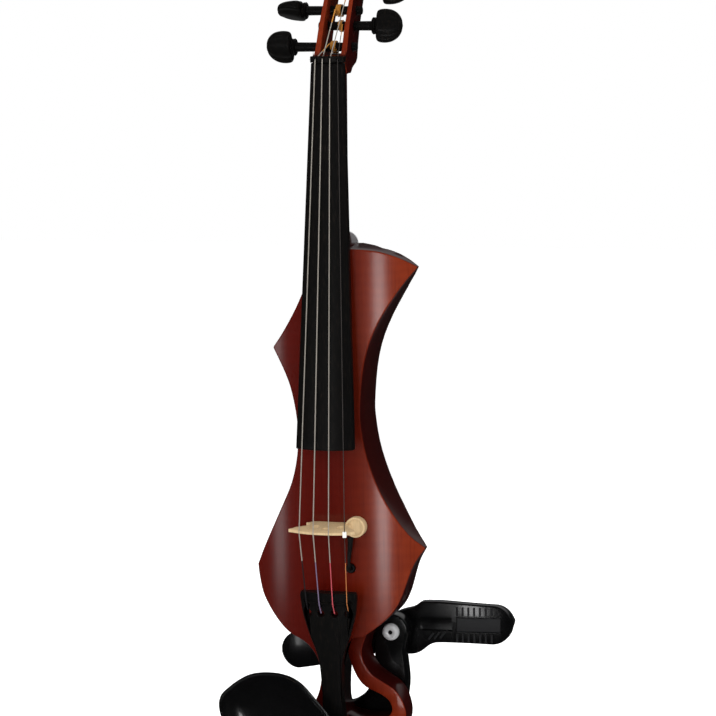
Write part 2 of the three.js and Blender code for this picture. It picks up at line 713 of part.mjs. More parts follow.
// Where each string lies: at the nut, over the bridge and over the tailpiece's fret
const spread = (index, width) => width * (index / (stringNames.length - 1) - 0.5);
const dropOver = (radius, x) => radius - Math.sqrt(radius ** 2 - x ** 2);
const boardTop = (height) => seatDepth(height) - fitGap - boardEdge - dropOver(boardRadius,
  boardNutWidth / 2);
const nutTop = boardTop(nutAlong) - nutStand;
const bridgeTop = -archHeight - bridgeHeight;
const sleeveBore = stringRadii.e + 2 * fitGap;
const sleeveRadius = sleeveBore + sleeveWall;
const lift = (name) => (name === 'e' ? sleeveRadius + fitGap : 0);
const tailTop = bridgeAlong - afterLength;
const tailBottom = bodyBottom + saddleLength + tailClear;
const tailpieceLength = tailTop - tailBottom;
const saddleTop = -archHeight - saddleHeight;
const tailRise = Math.atan2(bridgeHeight - tailStand - saddleHeight - tailpieceLift,
  bridgeAlong - bodyBottom);

// A place on the tailpiece, from its lower end: across, out from its back, and along
const tailMatrix = new THREE.Matrix4().makeRotationX(tailRise)
  .setPosition(0, saddleTop - tailpieceLift + tailpieceCrown, tailBottom);
const onTailpiece = (x, out, up) => point(x, -out, up).applyMatrix4(tailMatrix);
const tailRadius = ((tailpieceTopWidth / 2) ** 2 + (tailpieceCrown - tailpieceEdge) ** 2)
  / (2 * (tailpieceCrown - tailpieceEdge));
const tailCrownAt = (x) => tailpieceCrown - dropOver(tailRadius, x);

function coilPlan(name) {
  const { up, back, side, coil } = pegPlaces[name];
  const radius = stringRadii[name];
  const pitch = 2 * radius + coilGap;
  const ring = pegShaftRadius + fitGap + radius;
  const first = coil - (pitch * coilLoops) / 2;
  return { up, back, side, radius, pitch, ring, first };
}

// The last straight stretch meets the coil's front at a tangent, and stops just short of it
function stringRoute(name, index) {
  const radius = stringRadii[name];
  const { up, back, ring, first, pitch } = coilPlan(name);
  const nutX = spread(index, nutSpacing);
  const bridgeX = spread(index, bridgeSpacing);
  const tailX = spread(index, tailSpacing);
  const nut = point(nutX, nutTop + dropOver(boardRadius, nutX), nutAlong + nutDepth / 2);
  const axis = new THREE.Vector2(back, nutAlong + up);
  const start = new THREE.Vector2(nut.y, nut.z);
  const reach = axis.distanceTo(start);
  const tangent = Math.sqrt(reach ** 2 - ring ** 2);
  const lean = Math.atan2(axis.x - start.x, axis.y - start.y) - Math.asin(ring / reach);
  const stop = Math.sqrt((ring + radius + fitGap) ** 2 - (ring - radius) ** 2);
  const travel = tangent - stop;
  const coilX = nutX < first + (pitch * coilLoops) / 2 ? first : first + pitch * coilLoops;
  const share = travel / tangent;
  const tip = point(THREE.MathUtils.lerp(nutX, coilX, share), nut.y + travel * Math.sin(lean),
    nut.z + travel * Math.cos(lean));
  const bridge = point(bridgeX, bridgeTop + dropOver(bridgeRadius, bridgeX) - lift(name), bridgeAlong);
  const overFret = tailCrownAt(tailX) + fretHeight + fitGap + radius;
  const fret = onTailpiece(tailX, overFret, tailpieceLength - fretInset);
  const end = onTailpiece(tailX, tailCrownAt(tailX) - keyholeRadius / 2, tailpieceLength - keyholeInset);
  return [end, fret, bridge, nut, tip];
}
const routes = stringNames.map((name, index) => stringRoute(name, index));
const stringCuts = stringNames.map((name, i) => solid(tube(routes[i], stringRadii[name] + fitGap, 8)));

// Nut: seated on the neck's end, crowned like the board, with a groove for each string
const nutBlank = solid(loft([nutAlong + fitGap, nutAlong + nutDepth - fitGap].map((height) => {
  const halfWidth = boardNutWidth / 2 + fitGap;
  const steps = 10;
  const ring = [point(halfWidth, seatDepth(nutAlong) - fitGap, height),
    point(-halfWidth, seatDepth(nutAlong) - fitGap, height)];
  for (let i = 0; i <= steps; i += 1) {
    const x = halfWidth * (-1 + (2 * i) / steps);
    ring.push(point(x, nutTop + dropOver(boardRadius, x), height));
  }
  return ring;
})));
node('nut', surface(cut(nutBlank, stringCuts)), ebony());

// Bridge: arched feet, waist, heart and kidneys, thinner to its crown; its treble foot stands on a round sensor
const bridgePlace = (share, rise) => new THREE.Vector2(share * bridgeHalfWidth,
  -archHeight - rise * bridgeHeight);
function bridgeOutline() {
  const shape = new THREE.Shape();
  const side = [[1, -0.02], [1, 0.08], [0.84, 0.14], [0.66, 0.24], [0.7, 0.36], [0.9, 0.46], [0.99, 0.54],
    [0.95, 0.62],
    [0.99, 0.74], [1.02, 0.8]];
  const mirrored = side.map(([a, b]) => [-a, b]).reverse();
  shape.moveTo(...bridgePlace(0.53, -0.02).toArray());
  side.forEach((shares) => shape.lineTo(...bridgePlace(...shares).toArray()));
  const crownSteps = 12;
  for (let i = 0; i <= crownSteps; i += 1) {
    const x = bridgeTopHalfWidth * (1 - (2 * i) / crownSteps);
    shape.lineTo(x, bridgeTop + dropOver(bridgeRadius, x));
  }
  mirrored.forEach((shares) => shape.lineTo(...bridgePlace(...shares).toArray()));
  shape.lineTo(...bridgePlace(-0.53, -0.02).toArray());
  const arch = [[-0.5, 0.08], [-0.36, 0.2], [0, 0.3], [0.36, 0.2], [0.5, 0.08], [0.53, -0.02]];
  shape.splineThru(arch.map((shares) => bridgePlace(...shares)));
  const opening = (across0, rise, wide, tall) => {
    const hole = new THREE.Path();
    const centre = bridgePlace(across0, rise);
    hole.absellipse(centre.x, centre.y, wide, tall, 0, 2 * Math.PI, false);
    return hole;
  };
  shape.holes.push(opening(-0.52, 0.5, kidneyWidth, kidneyHeight),
    opening(0.52, 0.5, kidneyWidth, kidneyHeight),
    opening(0, 0.6, heartRadius, heartRadius));
  return shape;
}
const bridgeWedge = solid(loft([[-archHeight + overrun, bridgeFootThickness],
  [bridgeTop - overrun, bridgeTopThickness]]
  .map(([depth, thickness]) => [
    point(-bodyHalfWidth, depth, bridgeAlong - bridgeFootThickness / 2),
      point(bodyHalfWidth, depth, bridgeAlong - bridgeFootThickness / 2),
    point(bodyHalfWidth, depth, bridgeAlong - bridgeFootThickness / 2 + thickness),
    point(-bodyHalfWidth, depth, bridgeAlong - bridgeFootThickness / 2 + thickness),
  ])));
const puckAcross = bridgeHalfWidth * 0.83;
const puckFloor = -archHeight - puckHeight + puckRimStand;
const puckClear = solid(rod(puckRadius + fitGap, puckFloor - fitGap, overrun, 'y', 32)
  .translate(puckAcross, 0, bridgeAlong));
const rimClear = solid(turned([
  [puckRadius - puckRim - fitGap, overrun], [puckRadius + fitGap, overrun],
  [puckRadius + fitGap, -archHeight - puckHeight - fitGap],
  [puckRadius - puckRim - fitGap, -archHeight - puckHeight - fitGap],
    [puckRadius - puckRim - fitGap, overrun],
], 'y', 32).translate(puckAcross, 0, bridgeAlong));
const bridgeSolid = cut(
  solid(slabFacingUp(bridgeOutline(), bridgeAlong - bridgeFootThickness, bridgeAlong + bridgeFootThickness,
    8))
    .intersect(bridgeWedge),
  [crownClear, puckClear, rimClear, ...stringCuts]);
node('bridge', surface(bridgeSolid), bridgeMaple());
const puckSolid = solid(turned([
  [0, overrun - archHeight], [puckRadius, overrun - archHeight], [puckRadius, -archHeight - puckHeight],
  [puckRadius - puckRim, -archHeight - puckHeight], [puckRadius - puckRim, puckFloor], [0, puckFloor],
], 'y', 32).translate(puckAcross, 0, bridgeAlong)).subtract(crownClear);
node('bridge_sensor', surface(puckSolid), bridgeMaple());

// The pickup lead runs along the body from the sensor to a grommet
const leadDepth = -archHeight - leadRadius - 2 * fitGap;
const leadSensorEnd = bridgeAlong - puckRadius - fitGap;
const leadBend = 2.6 * leadRadius;
const grommetFront = -archHeight - 2 * fitGap;
const leadArc = Array.from({ length: 5 }, (_, i) => {
  const angle = (Math.PI / 2) * (1 - i / 4);
  return point(leadAcross, grommetFront - fitGap - leadBend * Math.sin(angle),
    leadAlong + leadBend * (1 - Math.cos(angle)));
});
const leadRoute = [
  point(leadAcross + leadRadius, leadDepth - leadRadius, leadSensorEnd),
  point(leadAcross + leadRadius, leadDepth - leadRadius, leadSensorEnd - 3 * leadRadius),
  point(leadAcross, leadDepth, leadSensorEnd - 9 * leadRadius),
  ...leadArc,
  point(leadAcross, cavityFront + leadRadius, leadAlong),
];
node('pickup_lead', closed(tube(leadRoute,
  leadRoute.map((_, i) => leadRadius * Math.max(1, 2 - 0.4 * i)), 10)), blackPlastic());
const grommetSolid = solid(turned([
  [leadRadius + fitGap, grommetFront], [grommetRadius, grommetFront],
  [grommetRadius, cavityFront - fitGap], [leadRadius + fitGap, cavityFront - fitGap],
  [leadRadius + fitGap, grommetFront],
], 'y', 16).translate(leadAcross, 0, leadAlong));
node('lead_grommet', surface(grommetSolid), blackPlastic());
const [sleeveBefore, sleeveCentre, sleeveAfter] = routes[3].slice(1, 4);
const sleeveLine = sleeveAfter.clone().sub(sleeveCentre).normalize()
  .add(sleeveCentre.clone().sub(sleeveBefore).normalize());
const sleeveTurn = new THREE.Quaternion().setFromUnitVectors(point(0, 0, 1), sleeveLine.normalize());
const sleeve = node('string_sleeve', closed(turned([
  [sleeveBore, -sleeveLength / 2], [sleeveRadius, -sleeveLength / 2], [sleeveRadius, sleeveLength / 2],
  [sleeveBore, sleeveLength / 2], [sleeveBore, -sleeveLength / 2],
], 'z', 12)), finish(0xf0efe8, 0.5));
sleeve.position.copy(sleeveCentre);
sleeve.quaternion.copy(sleeveTurn);

// Tailpiece: a waisted outline with a crowned top, a raised fret and four keyholes
function tailpieceOutline() {
  const place = (a, l) => new THREE.Vector2(a * tailpieceTopWidth, l * tailpieceLength);
  const shape = new THREE.Shape();
  const right = tailpieceShares.map((shares) => place(...shares));
  const left = tailpieceShares.map(([a, l]) => place(-a, l)).reverse();
  shape.moveTo(right[0].x, right[0].y);
  shape.splineThru(right.slice(1));
  shape.lineTo(place(0.48, 1).x, tailpieceLength);
  shape.lineTo(place(-0.48, 1).x, tailpieceLength);
  shape.lineTo(left[0].x, left[0].y);
  shape.splineThru(left.slice(1));
  return shape;
}

function tailCrown(extra) {
  const section = new THREE.Shape();
  const halfWidth = tailpieceTopWidth / 2;
  const steps = 12;
  section.moveTo(-halfWidth, 0);
  for (let i = 0; i <= steps; i += 1) {
    const x = halfWidth * (-1 + (2 * i) / steps);
    section.lineTo(x, -tailCrownAt(x) - extra);
  }
  section.lineTo(halfWidth, 0);
  return section;
}
const fretLow = tailpieceLength - fretInset - fretHeight / 2;
const keyholes = stringNames.map((name, index) => {
  const x = spread(index, tailSpacing);
  const low = tailpieceLength - keyholeInset;
  return joined([
    solid(rod(keyholeRadius, -tailpieceCrown - overrun, overrun, 'y', 10).translate(x, 0, low)),
    solid(block(x - keyholeSlot / 2, x + keyholeSlot / 2, -tailpieceCrown - overrun, overrun, low,
      fretLow - fitGap)),
  ]);
});
const gutSpread = tailpieceShares[1][0] * tailpieceTopWidth / 2;
const tailSolid = cut(joined([
  solid(slabFacingFront(tailpieceOutline(), -tailpieceCrown - overrun, 0, 2))
    .intersect(solid(slabFacingUp(tailCrown(0), 0, tailpieceLength))),
  solid(slabFacingUp(tailCrown(fretHeight), fretLow, fretLow + fretHeight))
    .intersect(solid(block(-tailSpacing / 2 - keyholeRadius, tailSpacing / 2 + keyholeRadius,
      -2 * tailpieceCrown, 0, 0, tailpieceLength))),
]), [...keyholes, ...[-1, 1].map((side) =>
  solid(rod(tailgutRadius + fitGap, -overrun, gutHoleDepth, 'z', 12)
    .translate(side * gutSpread, -gutRise, 0)))]);
node('tailpiece', surface(tailSolid).applyMatrix4(tailMatrix), ebony());

// Saddle and end button, with the tailgut round them
node('saddle', closed(block(-saddleWidth / 2, saddleWidth / 2, saddleTop, plateSeat - fitGap,
  bodyBottom, bodyBottom + saddleLength)), ebony());
node('end_button', closed(turned([
  [0, 0], [buttonRadius * 0.7, 0], [buttonRadius, buttonReach * 0.2], [buttonRadius, buttonReach * 0.42],
  [buttonNeck, buttonReach * 0.56], [buttonNeck, buttonReach * 0.84], [buttonRadius, buttonReach * 0.92],
  [buttonRadius, buttonReach - fitGap], [buttonShank, buttonReach - fitGap],
  [buttonShank, buttonReach + buttonShankLength], [0, buttonReach + buttonShankLength],
], 'z', 20).translate(0, buttonDepth, 0)), ebony());
const gutRadius = tailgutRadius + fitGap;
const gutGroove = buttonNeck + gutRadius;
const gutHeight = buttonReach * 0.7;
const gutSide = [
  onTailpiece(gutSpread, gutRise, gutHoleDepth - fitGap),
  onTailpiece(gutSpread, gutRise, -fitGap),
  point(gutSpread, saddleTop - gutRadius, bodyBottom + saddleLength),
  point(gutSpread, saddleTop - gutRadius, bodyBottom + saddleLength / 2),
  point(gutSpread, saddleTop - gutRadius, bodyBottom),
  point(gutSpread, saddleTop - gutRadius * Math.SQRT1_2, bodyBottom - gutRadius * Math.SQRT1_2),
  point(gutSpread, saddleTop + gutRadius / 2, bodyBottom - gutRadius * 1.2),
];
const gutSteps = 10;
const gutTurn = Array.from({ length: gutSteps + 1 }, (_, i) => {
  const angle = Math.PI * (i / gutSteps);
  return point(gutGroove * Math.cos(angle), buttonDepth + gutGroove * Math.sin(angle), gutHeight);
});
const mirroredGut = gutSide.map((p) => point(-p.x, p.y, p.z)).reverse();
node('tailgut', closed(tube([...gutSide, ...gutTurn, ...mirroredGut], tailgutRadius, 6)), blackPlastic());

// Strings, pegs and the windings on the pegs
const stringFinish = { g: silk(0xb5b0a4), d: silk(0xb5b0a4), a: wire(), e: steel() };
stringNames.forEach((name, index) => {
  node(`string_${name}`, closed(tube(routes[index], stringRadii[name], 8)), stringFinish[name]);
});

function coilPoints({ radius, pitch, ring, first }) {
  const count = coilSteps * coilLoops;
  return Array.from({ length: count + 1 }, (_, i) => {
    const angle = (2 * Math.PI * i) / coilSteps;
    return point(first + (pitch * i) / coilSteps, -ring * Math.cos(angle), ring * Math.sin(angle));
  });
}

// Least gap between one turn of a winding and the next, measured on its points
function leastGap(points, radius) {
  let least = Infinity;
  for (let i = 0; i < points.length; i += 1) {
    for (let j = i + coilSteps / 2; j < points.length; j += 1) least = Math.min(least, points[i]
      .distanceTo(points[j]));
  }
  return least - 2 * radius;
}

function pegSolid(name) {
  const shoulder = pegShoulder(name);
  const middle = shoulder + pegCollarLength + pegHeadLength / 2;
  const shaft = solid(turned([
    [0, pegTip], [pegTipRadius - fitGap, pegTip], [pegTipRadius, pegTip + fitGap], [pegShaftRadius, shoulder],
    [pegCollarRadius, shoulder + fitGap], [pegCollarRadius, shoulder + pegCollarLength - fitGap],
    [pegShaftRadius + fitGap, shoulder + pegCollarLength], [pegShaftRadius, middle], [0, middle],
  ], 'x', 12));
  const head = solid(new THREE.SphereGeometry(1, 12, 8)
    .scale(pegHeadLength / 2 + pegCollarLength / 2, pegHeadHalfThickness, pegHeadHalfHeight)
      .translate(middle, 0, 0));
  const pip = solid(new THREE.SphereGeometry(pegPipRadius, 8, 4)
    .translate(middle + pegHeadLength / 2 + pegCollarLength / 2, 0, 0));
  return joined([shaft, head, pip]);
}

stringNames.forEach((name) => {
  const plan = coilPlan(name);
  const place = new THREE.Group();
  place.position.set(0, plan.back, nutAlong + plan.up);
  place.rotation.x = THREE.MathUtils.degToRad(pegPlaces[name].turn);
  violin.add(place);
  const peg = node(`peg_${name}`, surface(pegSolid(name)), ebony(), place);
  if (plan.side < 0) peg.rotation.y = Math.PI;
  const points = coilPoints(plan);
  node(`winding_${name}`, closed(tube(points, plan.radius, coilSides)), stringFinish[name], place);
  console.log(`winding_${name}: least gap to itself ${leastGap(points, plan.radius).toFixed(2)} mm`);
});

// Chinrest: a dished cup left of the tailpiece, on a bar that spans the tailpiece's end
function chinrest() {
  const place = (a, l) => new THREE.Vector2(THREE.MathUtils.lerp(-chinLeft, chinRight, a),
    THREE.MathUtils.lerp(chinBottom, chinTop, l));
  const curve = new THREE.SplineCurve([...chinShares, chinShares[0]].map((shares) => place(...shares)));
  const rim = curve.getSpacedPoints(chinSteps).slice(0, -1);
  const middle = place(0.46, 0.48);
  const levels = [[0.25, 0], [0.72, 0.04], [0.93, 0.3], [1, 0.72], [0.99, 0.92], [0.95, 1], [0.88, 0.9],
    [0.6, 0.42], [0.25, 0.24]];
  const under = -archHeight - chinTopGap;
  return solid(loft(levels.map(([size, rise]) => rim.map((p) => {
    const q = middle.clone().lerp(p, size);
    return point(q.x, under - chinThickness * rise, q.y);
  }))));
}
const barFront = -archHeight - chinTopGap - overrun;
const barBack = onTailpiece(0, tailpieceCrown, 0).y - overrun;
const lugBottom = bodyBottom - clampDrop - barrelRadius;
const footTop = bodyBottom + chinBarWidth;
const chinFoot = (side, seat) =>
  solid(block(side * clampSpacing / 2 - chinFootHalfWidth, side * clampSpacing / 2 + chinFootHalfWidth,
    barFront, seat, bodyBottom + fitGap, footTop));
const chinFeet = [chinFoot(-1, 0).subtract(crownClear), chinFoot(1, bandSeat - fitGap)];
const chinLugs = [-1, 1].map((side) =>
  solid(block(side * clampSpacing / 2 - chinFootHalfWidth / 2,
    side * clampSpacing / 2 + chinFootHalfWidth / 2,
    barFront, lugBack, lugBottom, footTop)));
const rodBottom = bodyBottom - clampDrop;
const barrelCentre = (lugBack + backDepth) / 2;
const rodCuts = [-1, 1].map((side) =>
  solid(rod(clampRodRadius + fitGap, lugBack - clampRodLength, lugBack + overrun, 'y', 16)
  .translate(side * clampSpacing / 2, 0, rodBottom)));
const chinSolid = cut(joined([
  chinrest(),
  solid(block(-chinBarHalfLength, chinBarHalfLength, barFront, barBack, bodyBottom + fitGap, footTop)),
  ...chinFeet, ...chinLugs,
]), rodCuts);
node('chinrest', surface(chinSolid), blackPlastic());

[['bass', -1], ['treble', 1]].forEach(([name, side]) => {
  const x = side * clampSpacing / 2;
  const half = barrelLength / 2;
  node(`clamp_rod_front_${name}`, closed(rod(clampRodRadius, lugBack - clampRodLength + fitGap,
    barrelCentre - fitGap, 'y', 16)
    .translate(x, 0, rodBottom)), steel());
  const barrel = cut(solid(rod(barrelRadius, barrelCentre - half, barrelCentre + half, 'y', 20)), [
    solid(rod(clampRodRadius + fitGap, barrelCentre - half - overrun, barrelCentre + half + overrun, 'y',
      16)),
    solid(rod(keyholeSlot, -barrelRadius - overrun, barrelRadius + overrun, 'x', 10)
      .translate(0, barrelCentre, 0)),
  ]);
  const barrelNode = node(`clamp_barrel_${name}`, surface(barrel), steel());
  barrelNode.position.set(x, 0, rodBottom);
});
const clampBack = backDepth + fitGap;
const clampFoot = joined([
  solid(block(-clampSpacing / 2 - chinFootHalfWidth, clampSpacing / 2 + chinFootHalfWidth, clampBack,
    clampBack + clampFootThickness, lugBottom, bodyBottom + clampFootReach - chinBarWidth)),
  ...[-1, 1].map((side) => solid(rod(clampRodRadius, barrelCentre + fitGap, clampBack + overrun, 'y', 16)
    .translate(side * clampSpacing / 2, 0, rodBottom))),
]);
node('clamp_foot', surface(clampFoot), steel());

// Bracket for the shoulder rest, on the back of the tail frame
const bracketReach = boltAlong - (bodyBottom + clampFootReach - chinBarWidth + bracketClear);
function bracketOutline() {
  const place = (x, z) => new THREE.Vector2(boltAcross + x * bossRadius, boltAlong + z * bracketReach);
  const shape = new THREE.Shape();
  shape.moveTo(...place(...bracketInnerShares[0]).toArray());
  shape.splineThru(bracketInnerShares.slice(1).map((shares) => place(...shares)));
  shape.absarc(boltAcross, boltAlong, bossRadius, Math.PI, 0, true);
  shape.splineThru(bracketOuterShares.slice(1).map((shares) => place(...shares)));
  return shape;
}
const bracketFront = backDepth + fitGap;
const bracketBack = bracketFront + bracketThickness;
const postFront = bracketFront + bracketWall + fitGap;
const bracketSolid = cut(
  solid(slabFacingFront(bracketOutline(), bracketFront, bracketBack, 4)),
  [
    solid(rod(postRadius + fitGap, postFront - fitGap, bracketBack + overrun, 'y', 24)
      .translate(boltAcross, 0, boltAlong)),
    solid(rod(boltRadius + fitGap, bracketFront - overrun, bracketBack, 'y', 20)
      .translate(boltAcross, 0, boltAlong)),
  ]);
node('rest_bracket', surface(bracketSolid), blackPlastic());
const boltSolid = solid(turned([
  [0, -boltHeadHeight], [boltHeadRadius * 0.6, -boltHeadHeight],
    [boltHeadRadius * 0.9, -boltHeadHeight * 0.6],
  [boltHeadRadius, 0], [boltRadius, 0], [boltRadius, bracketWall - fitGap], [0, bracketWall - fitGap],
], 'y', 28)).subtract(solid(rod(boltSocket, -boltHeadHeight - overrun, -boltHeadHeight / 2, 'y', 6)));
node('bracket_bolt', surface(boltSolid).translate(boltAcross, bracketFront - fitGap, boltAlong), steel());

// Shoulder rest: a long bowed bar behind the body, on a post that slides and turns in the bracket
const restFront = bracketBack + restGap;
const restLeftRadius = restShares[0][2] * restRadius;
const restLeft = restShares[0][0] * restRight;
const restTable = (x, column) => {
  const share = x / restRight;
  const next = THREE.MathUtils.clamp(restShares.findIndex((row) => row[0] > share), 1, restShares.length - 1);
  const [from, to] = [restShares[next - 1], restShares[share >= 1 ? restShares.length - 1 : next]];
  const part = share >= 1 ? 1 : Math.max((share - from[0]) / (to[0] - from[0]), 0);
  return restRadius * THREE.MathUtils.lerp(from[column], to[column], part);
};
const roundEnd = (distance, radius) =>
  (distance >= radius ? 1 : Math.sqrt(Math.max(distance * (2 * radius - distance), 0)) / radius);
const restHalf = (x) => restTable(x, 2) * roundEnd(x - restLeft + restLeftRadius, restLeftRadius)
  * roundEnd(restRight + restRadius - x, restRadius);
const restHeight = (x) => boltAlong + restTable(x, 1);
const restBow = (x) => restFront + restSag * ((x - boltAcross) / restRight) ** 2;
function restLoft(from, to, front, back, sizeOf, steps, heightOf = restHeight) {
  const stations = Array.from({ length: steps + 1 }, (_, i) =>
    THREE.MathUtils.lerp(from, to, 0.5 - 0.5 * Math.cos((Math.PI * i) / steps)));
  return loft(stations.map((x) => {
    const w = Math.max(sizeOf(x), fitGap);
    const z = heightOf(x);
    const y = restBow(x);
    const soft = Math.min((back - front) / 4, w / 3);
    return [
      point(x, y + front, z - w + soft), point(x, y + front + soft, z - w), point(x, y + back - soft, z - w),
      point(x, y + back, z - w + soft), point(x, y + back, z + w - soft), point(x, y + back - soft, z + w),
      point(x, y + front + soft, z + w), point(x, y + front, z + w - soft),
    ];
  }));
}
const restEnds = [restLeft - restLeftRadius + fitGap, restRight + restRadius - fitGap];
const restBlank = solid(restLoft(...restEnds, 0, restThickness, restHalf, 22));
const slideAlong = restHeight(restRight);
const slideEnds = [restRight + slideReach - slideLength, restRight + slideReach];
const onSlide = () => slideAlong;
const recessCut = solid(restLoft(boltAcross + recessStart, boltAcross + recessStart + recessLength,
  -overrun, restWall,
  () => recessHalf, 5, onSlide));
const slideCut = solid(restLoft(slideEnds[0] - fitGap, slideEnds[1] + fitGap, -overrun, restWall, () =>
  slideHalf + fitGap, 5, onSlide));
const ribs = Array.from({ length: ribCount }, (_, i) => {
  const x = THREE.MathUtils.lerp(slideEnds[0], restRight, i / (ribCount - 1));
  return [-1, 1].map((side) => {
    const z = slideAlong + side * restRadius * 0.64;
    return solid(block(x - ribWidth / 2, x + ribWidth / 2, restBow(x) - ribHeight, restBow(x) + restWall,
      z - restRadius * 0.2, z + restRadius * 0.2));
  });
}).flat();
const spigotBore = solid(rod(boltRadius + fitGap, restFront - overrun, restFront + restThickness - restWall,
  'y', 20)
  .translate(boltAcross, 0, boltAlong));
node('rest_frame', surface(cut(joined([restBlank, ...ribs]), [recessCut, slideCut, spigotBore])),
  blackPlastic());
node('rest_slide', closed(restLoft(...slideEnds, -fitGap, restWall - fitGap, () => slideHalf, 5, onSlide)),
  finish(0x2a2a2c, 0.4, 0.6));
node('rest_pad', closed(restLoft(restEnds[0] + restWall, restEnds[1] - restWall, restThickness + fitGap,
  restThickness + padThickness,
  (x) => restHalf(x) - restWall / 2, 18)), foam());
node('rest_post', closed(turned([
  [0, postFront], [postRadius, postFront], [postRadius, restFront - fitGap], [boltRadius, restFront - fitGap],
  [boltRadius, restFront + restThickness - restWall - fitGap],
    [0, restFront + restThickness - restWall - fitGap],
], 'y', 24).translate(boltAcross, 0, boltAlong)), steel());

// Electronics: a cover with two controls over the cavity, a board, and the two sockets in the bass edge
const coverOuter = backFace;
const knobPlaces = [['volume', 1], ['tone', -1]]
  .map(([name, side]) => ({ name, x: coverAcross, z: coverAlong + side * knobSpacing / 2 }));
const coverSolid = cut(
  solid(block(coverLeft, coverRight, coverOuter - coverThickness, coverOuter, coverBottom, coverTop)), [
    ...knobPlaces.map(({ x, z }) => solid(rod(shaftRadius + fitGap, coverOuter - coverThickness - overrun,
      coverOuter + overrun, 'y', 16).translate(x, 0, z))),
    ...screwPlaces.map(({ x, z }) => solid(turned([
      [0, coverOuter - coverThickness - overrun],
        [screwRadius + fitGap, coverOuter - coverThickness - overrun],
      [screwRadius + fitGap, coverOuter - screwHeadHeight - fitGap], [screwHeadRadius + fitGap, coverOuter],
      [screwHeadRadius + fitGap, coverOuter + overrun], [0, coverOuter + overrun],
    ], 'y', 12).translate(x, 0, z))),
  ]);
node('control_cover', surface(coverSolid), blackPlastic());
screwPlaces.forEach(({ x, z }, i) => {
  node(`cover_screw_${i + 1}`, closed(turned([
    [0, coverOuter - screwLength], [screwRadius, coverOuter - screwLength],
      [screwRadius, coverOuter - screwHeadHeight],
    [screwHeadRadius, coverOuter - fitGap], [screwHeadRadius * 0.8, coverOuter], [0, coverOuter],
  ], 'y', 12).translate(x, 0, z)), steel());
});
knobPlaces.forEach(({ name, x, z }) => {
  const under = coverOuter - coverThickness - fitGap;
  node(`${name}_pot`, closed(turned([[0, under - potHeight], [potRadius, under - potHeight],
    [potRadius, under], [0, under]],
    'y', 24).translate(x, 0, z)), steel());
  const marker = solid(block(-fitGap, fitGap, knobHeight - fitGap, knobHeight + overrun, knobRadius * 0.35,
    knobRadius * 0.85));
  const knob = solid(turned([
    [0, -coverThickness], [shaftRadius, -coverThickness], [shaftRadius, fitGap], [knobRadius, fitGap],
    [knobRadius * 0.94, knobHeight * 0.86], [knobRadius * 0.85, knobHeight], [0, knobHeight],
  ], 'y', 24)).subtract(marker);
  const place = node(`${name}_knob`, surface(knob), blackPlastic());
  place.position.set(x, coverOuter, z);
});
const circuitTop = coverOuter - coverThickness - potHeight - 3 * fitGap;
node('circuit_board', closed(block(coverLeft + coverLedge + fitGap, coverRight - coverLedge - fitGap,
  circuitTop - boardThickness, circuitTop, coverBottom + coverLedge + fitGap,
    coverTop - coverLedge - fitGap)), finish(0x1d4a2c, 0.5));

const socket = (radius, bore, flange, face, height) => {
  const inner = face + jackLength;
  return turned([
    [bore, face - jackFlangeThickness], [flange, face - jackFlangeThickness], [flange, face - fitGap],
      [radius, face - fitGap],
    [radius, inner], [bore * 0.6, inner], [bore * 0.6, inner - jackFlangeThickness],
      [bore, inner - jackFlangeThickness],
    [bore, face - jackFlangeThickness],
  ], 'x', 16).translate(0, jackDepth, height);
};
node('output_jack', closed(socket(jackRadius, jackBore, jackFlange, jackFace, jackAlong)), steel());
node('headphone_jack', closed(socket(phonesRadius, phonesBore, phonesFlange, phonesFace, phonesAlong)),
  steel());

// Battery box in the upper body, with a door that turns on two pins
const boxOuter = backFace + flangeThickness;
const doorHalfWidth = batteryWidth / 2;
const doorLow = batteryAlong - batteryLength / 2;
const doorHigh = batteryAlong + batteryLength / 2;
const doorAxisDepth = boxOuter - doorThickness / 2;
const doorAxisAlong = doorLow + doorThickness / 2;
const boxSolid = cut(joined([
  solid(block(-boxHalfWidth, boxHalfWidth, backFace - boxDepth, boxOuter, batteryAlong - boxHalfLength,
    batteryAlong + boxHalfLength)),
  solid(block(-boxHalfWidth - boxFlange, boxHalfWidth + boxFlange, backFace + fitGap, boxOuter,
    batteryAlong - boxHalfLength - boxFlange, batteryAlong + boxHalfLength + boxFlange)),
]), [
  solid(block(-doorHalfWidth - fitGap, doorHalfWidth + fitGap, backFace - boxDepth + boxWall,
    boxOuter + overrun,
    doorLow - fitGap, doorHigh + fitGap)),
  solid(rod(doorPinRadius + fitGap, -doorHalfWidth - boxWall, doorHalfWidth + boxWall, 'x', 12)
    .translate(0, doorAxisDepth, doorAxisAlong)),
]);
node('battery_box', surface(boxSolid), blackPlastic());
function doorOutline() {
  const shape = new THREE.Shape();
  const half = doorThickness / 2;
  shape.moveTo(half, doorHigh - doorAxisAlong);
  shape.lineTo(-half, doorHigh - doorAxisAlong);
  shape.lineTo(-half, 0);
  shape.absarc(0, 0, half, Math.PI, 2 * Math.PI, false);
  return shape;
}
const doorSolid = joined([
  solid(slabFacingSide(doorOutline(), -doorHalfWidth, doorHalfWidth, 8)),
  solid(rod(doorPinRadius, -doorHalfWidth - boxWall + fitGap, doorHalfWidth + boxWall - fitGap, 'x', 12)),
]);
const door = node('battery_door', surface(doorSolid), blackPlastic());
door.position.set(0, doorAxisDepth, doorAxisAlong);
node('battery', closed(block(-batteryWidth / 2 + fitGap, batteryWidth / 2 - fitGap,
  backFace - boxDepth + boxWall + fitGap,
  backFace - boxDepth + boxWall + fitGap + batteryThickness, batteryAlong - batteryLength / 2 + 2 * fitGap,
  batteryAlong + batteryLength / 2 - 2 * fitGap)), finish(0x2b2b30, 0.4, 0.3));

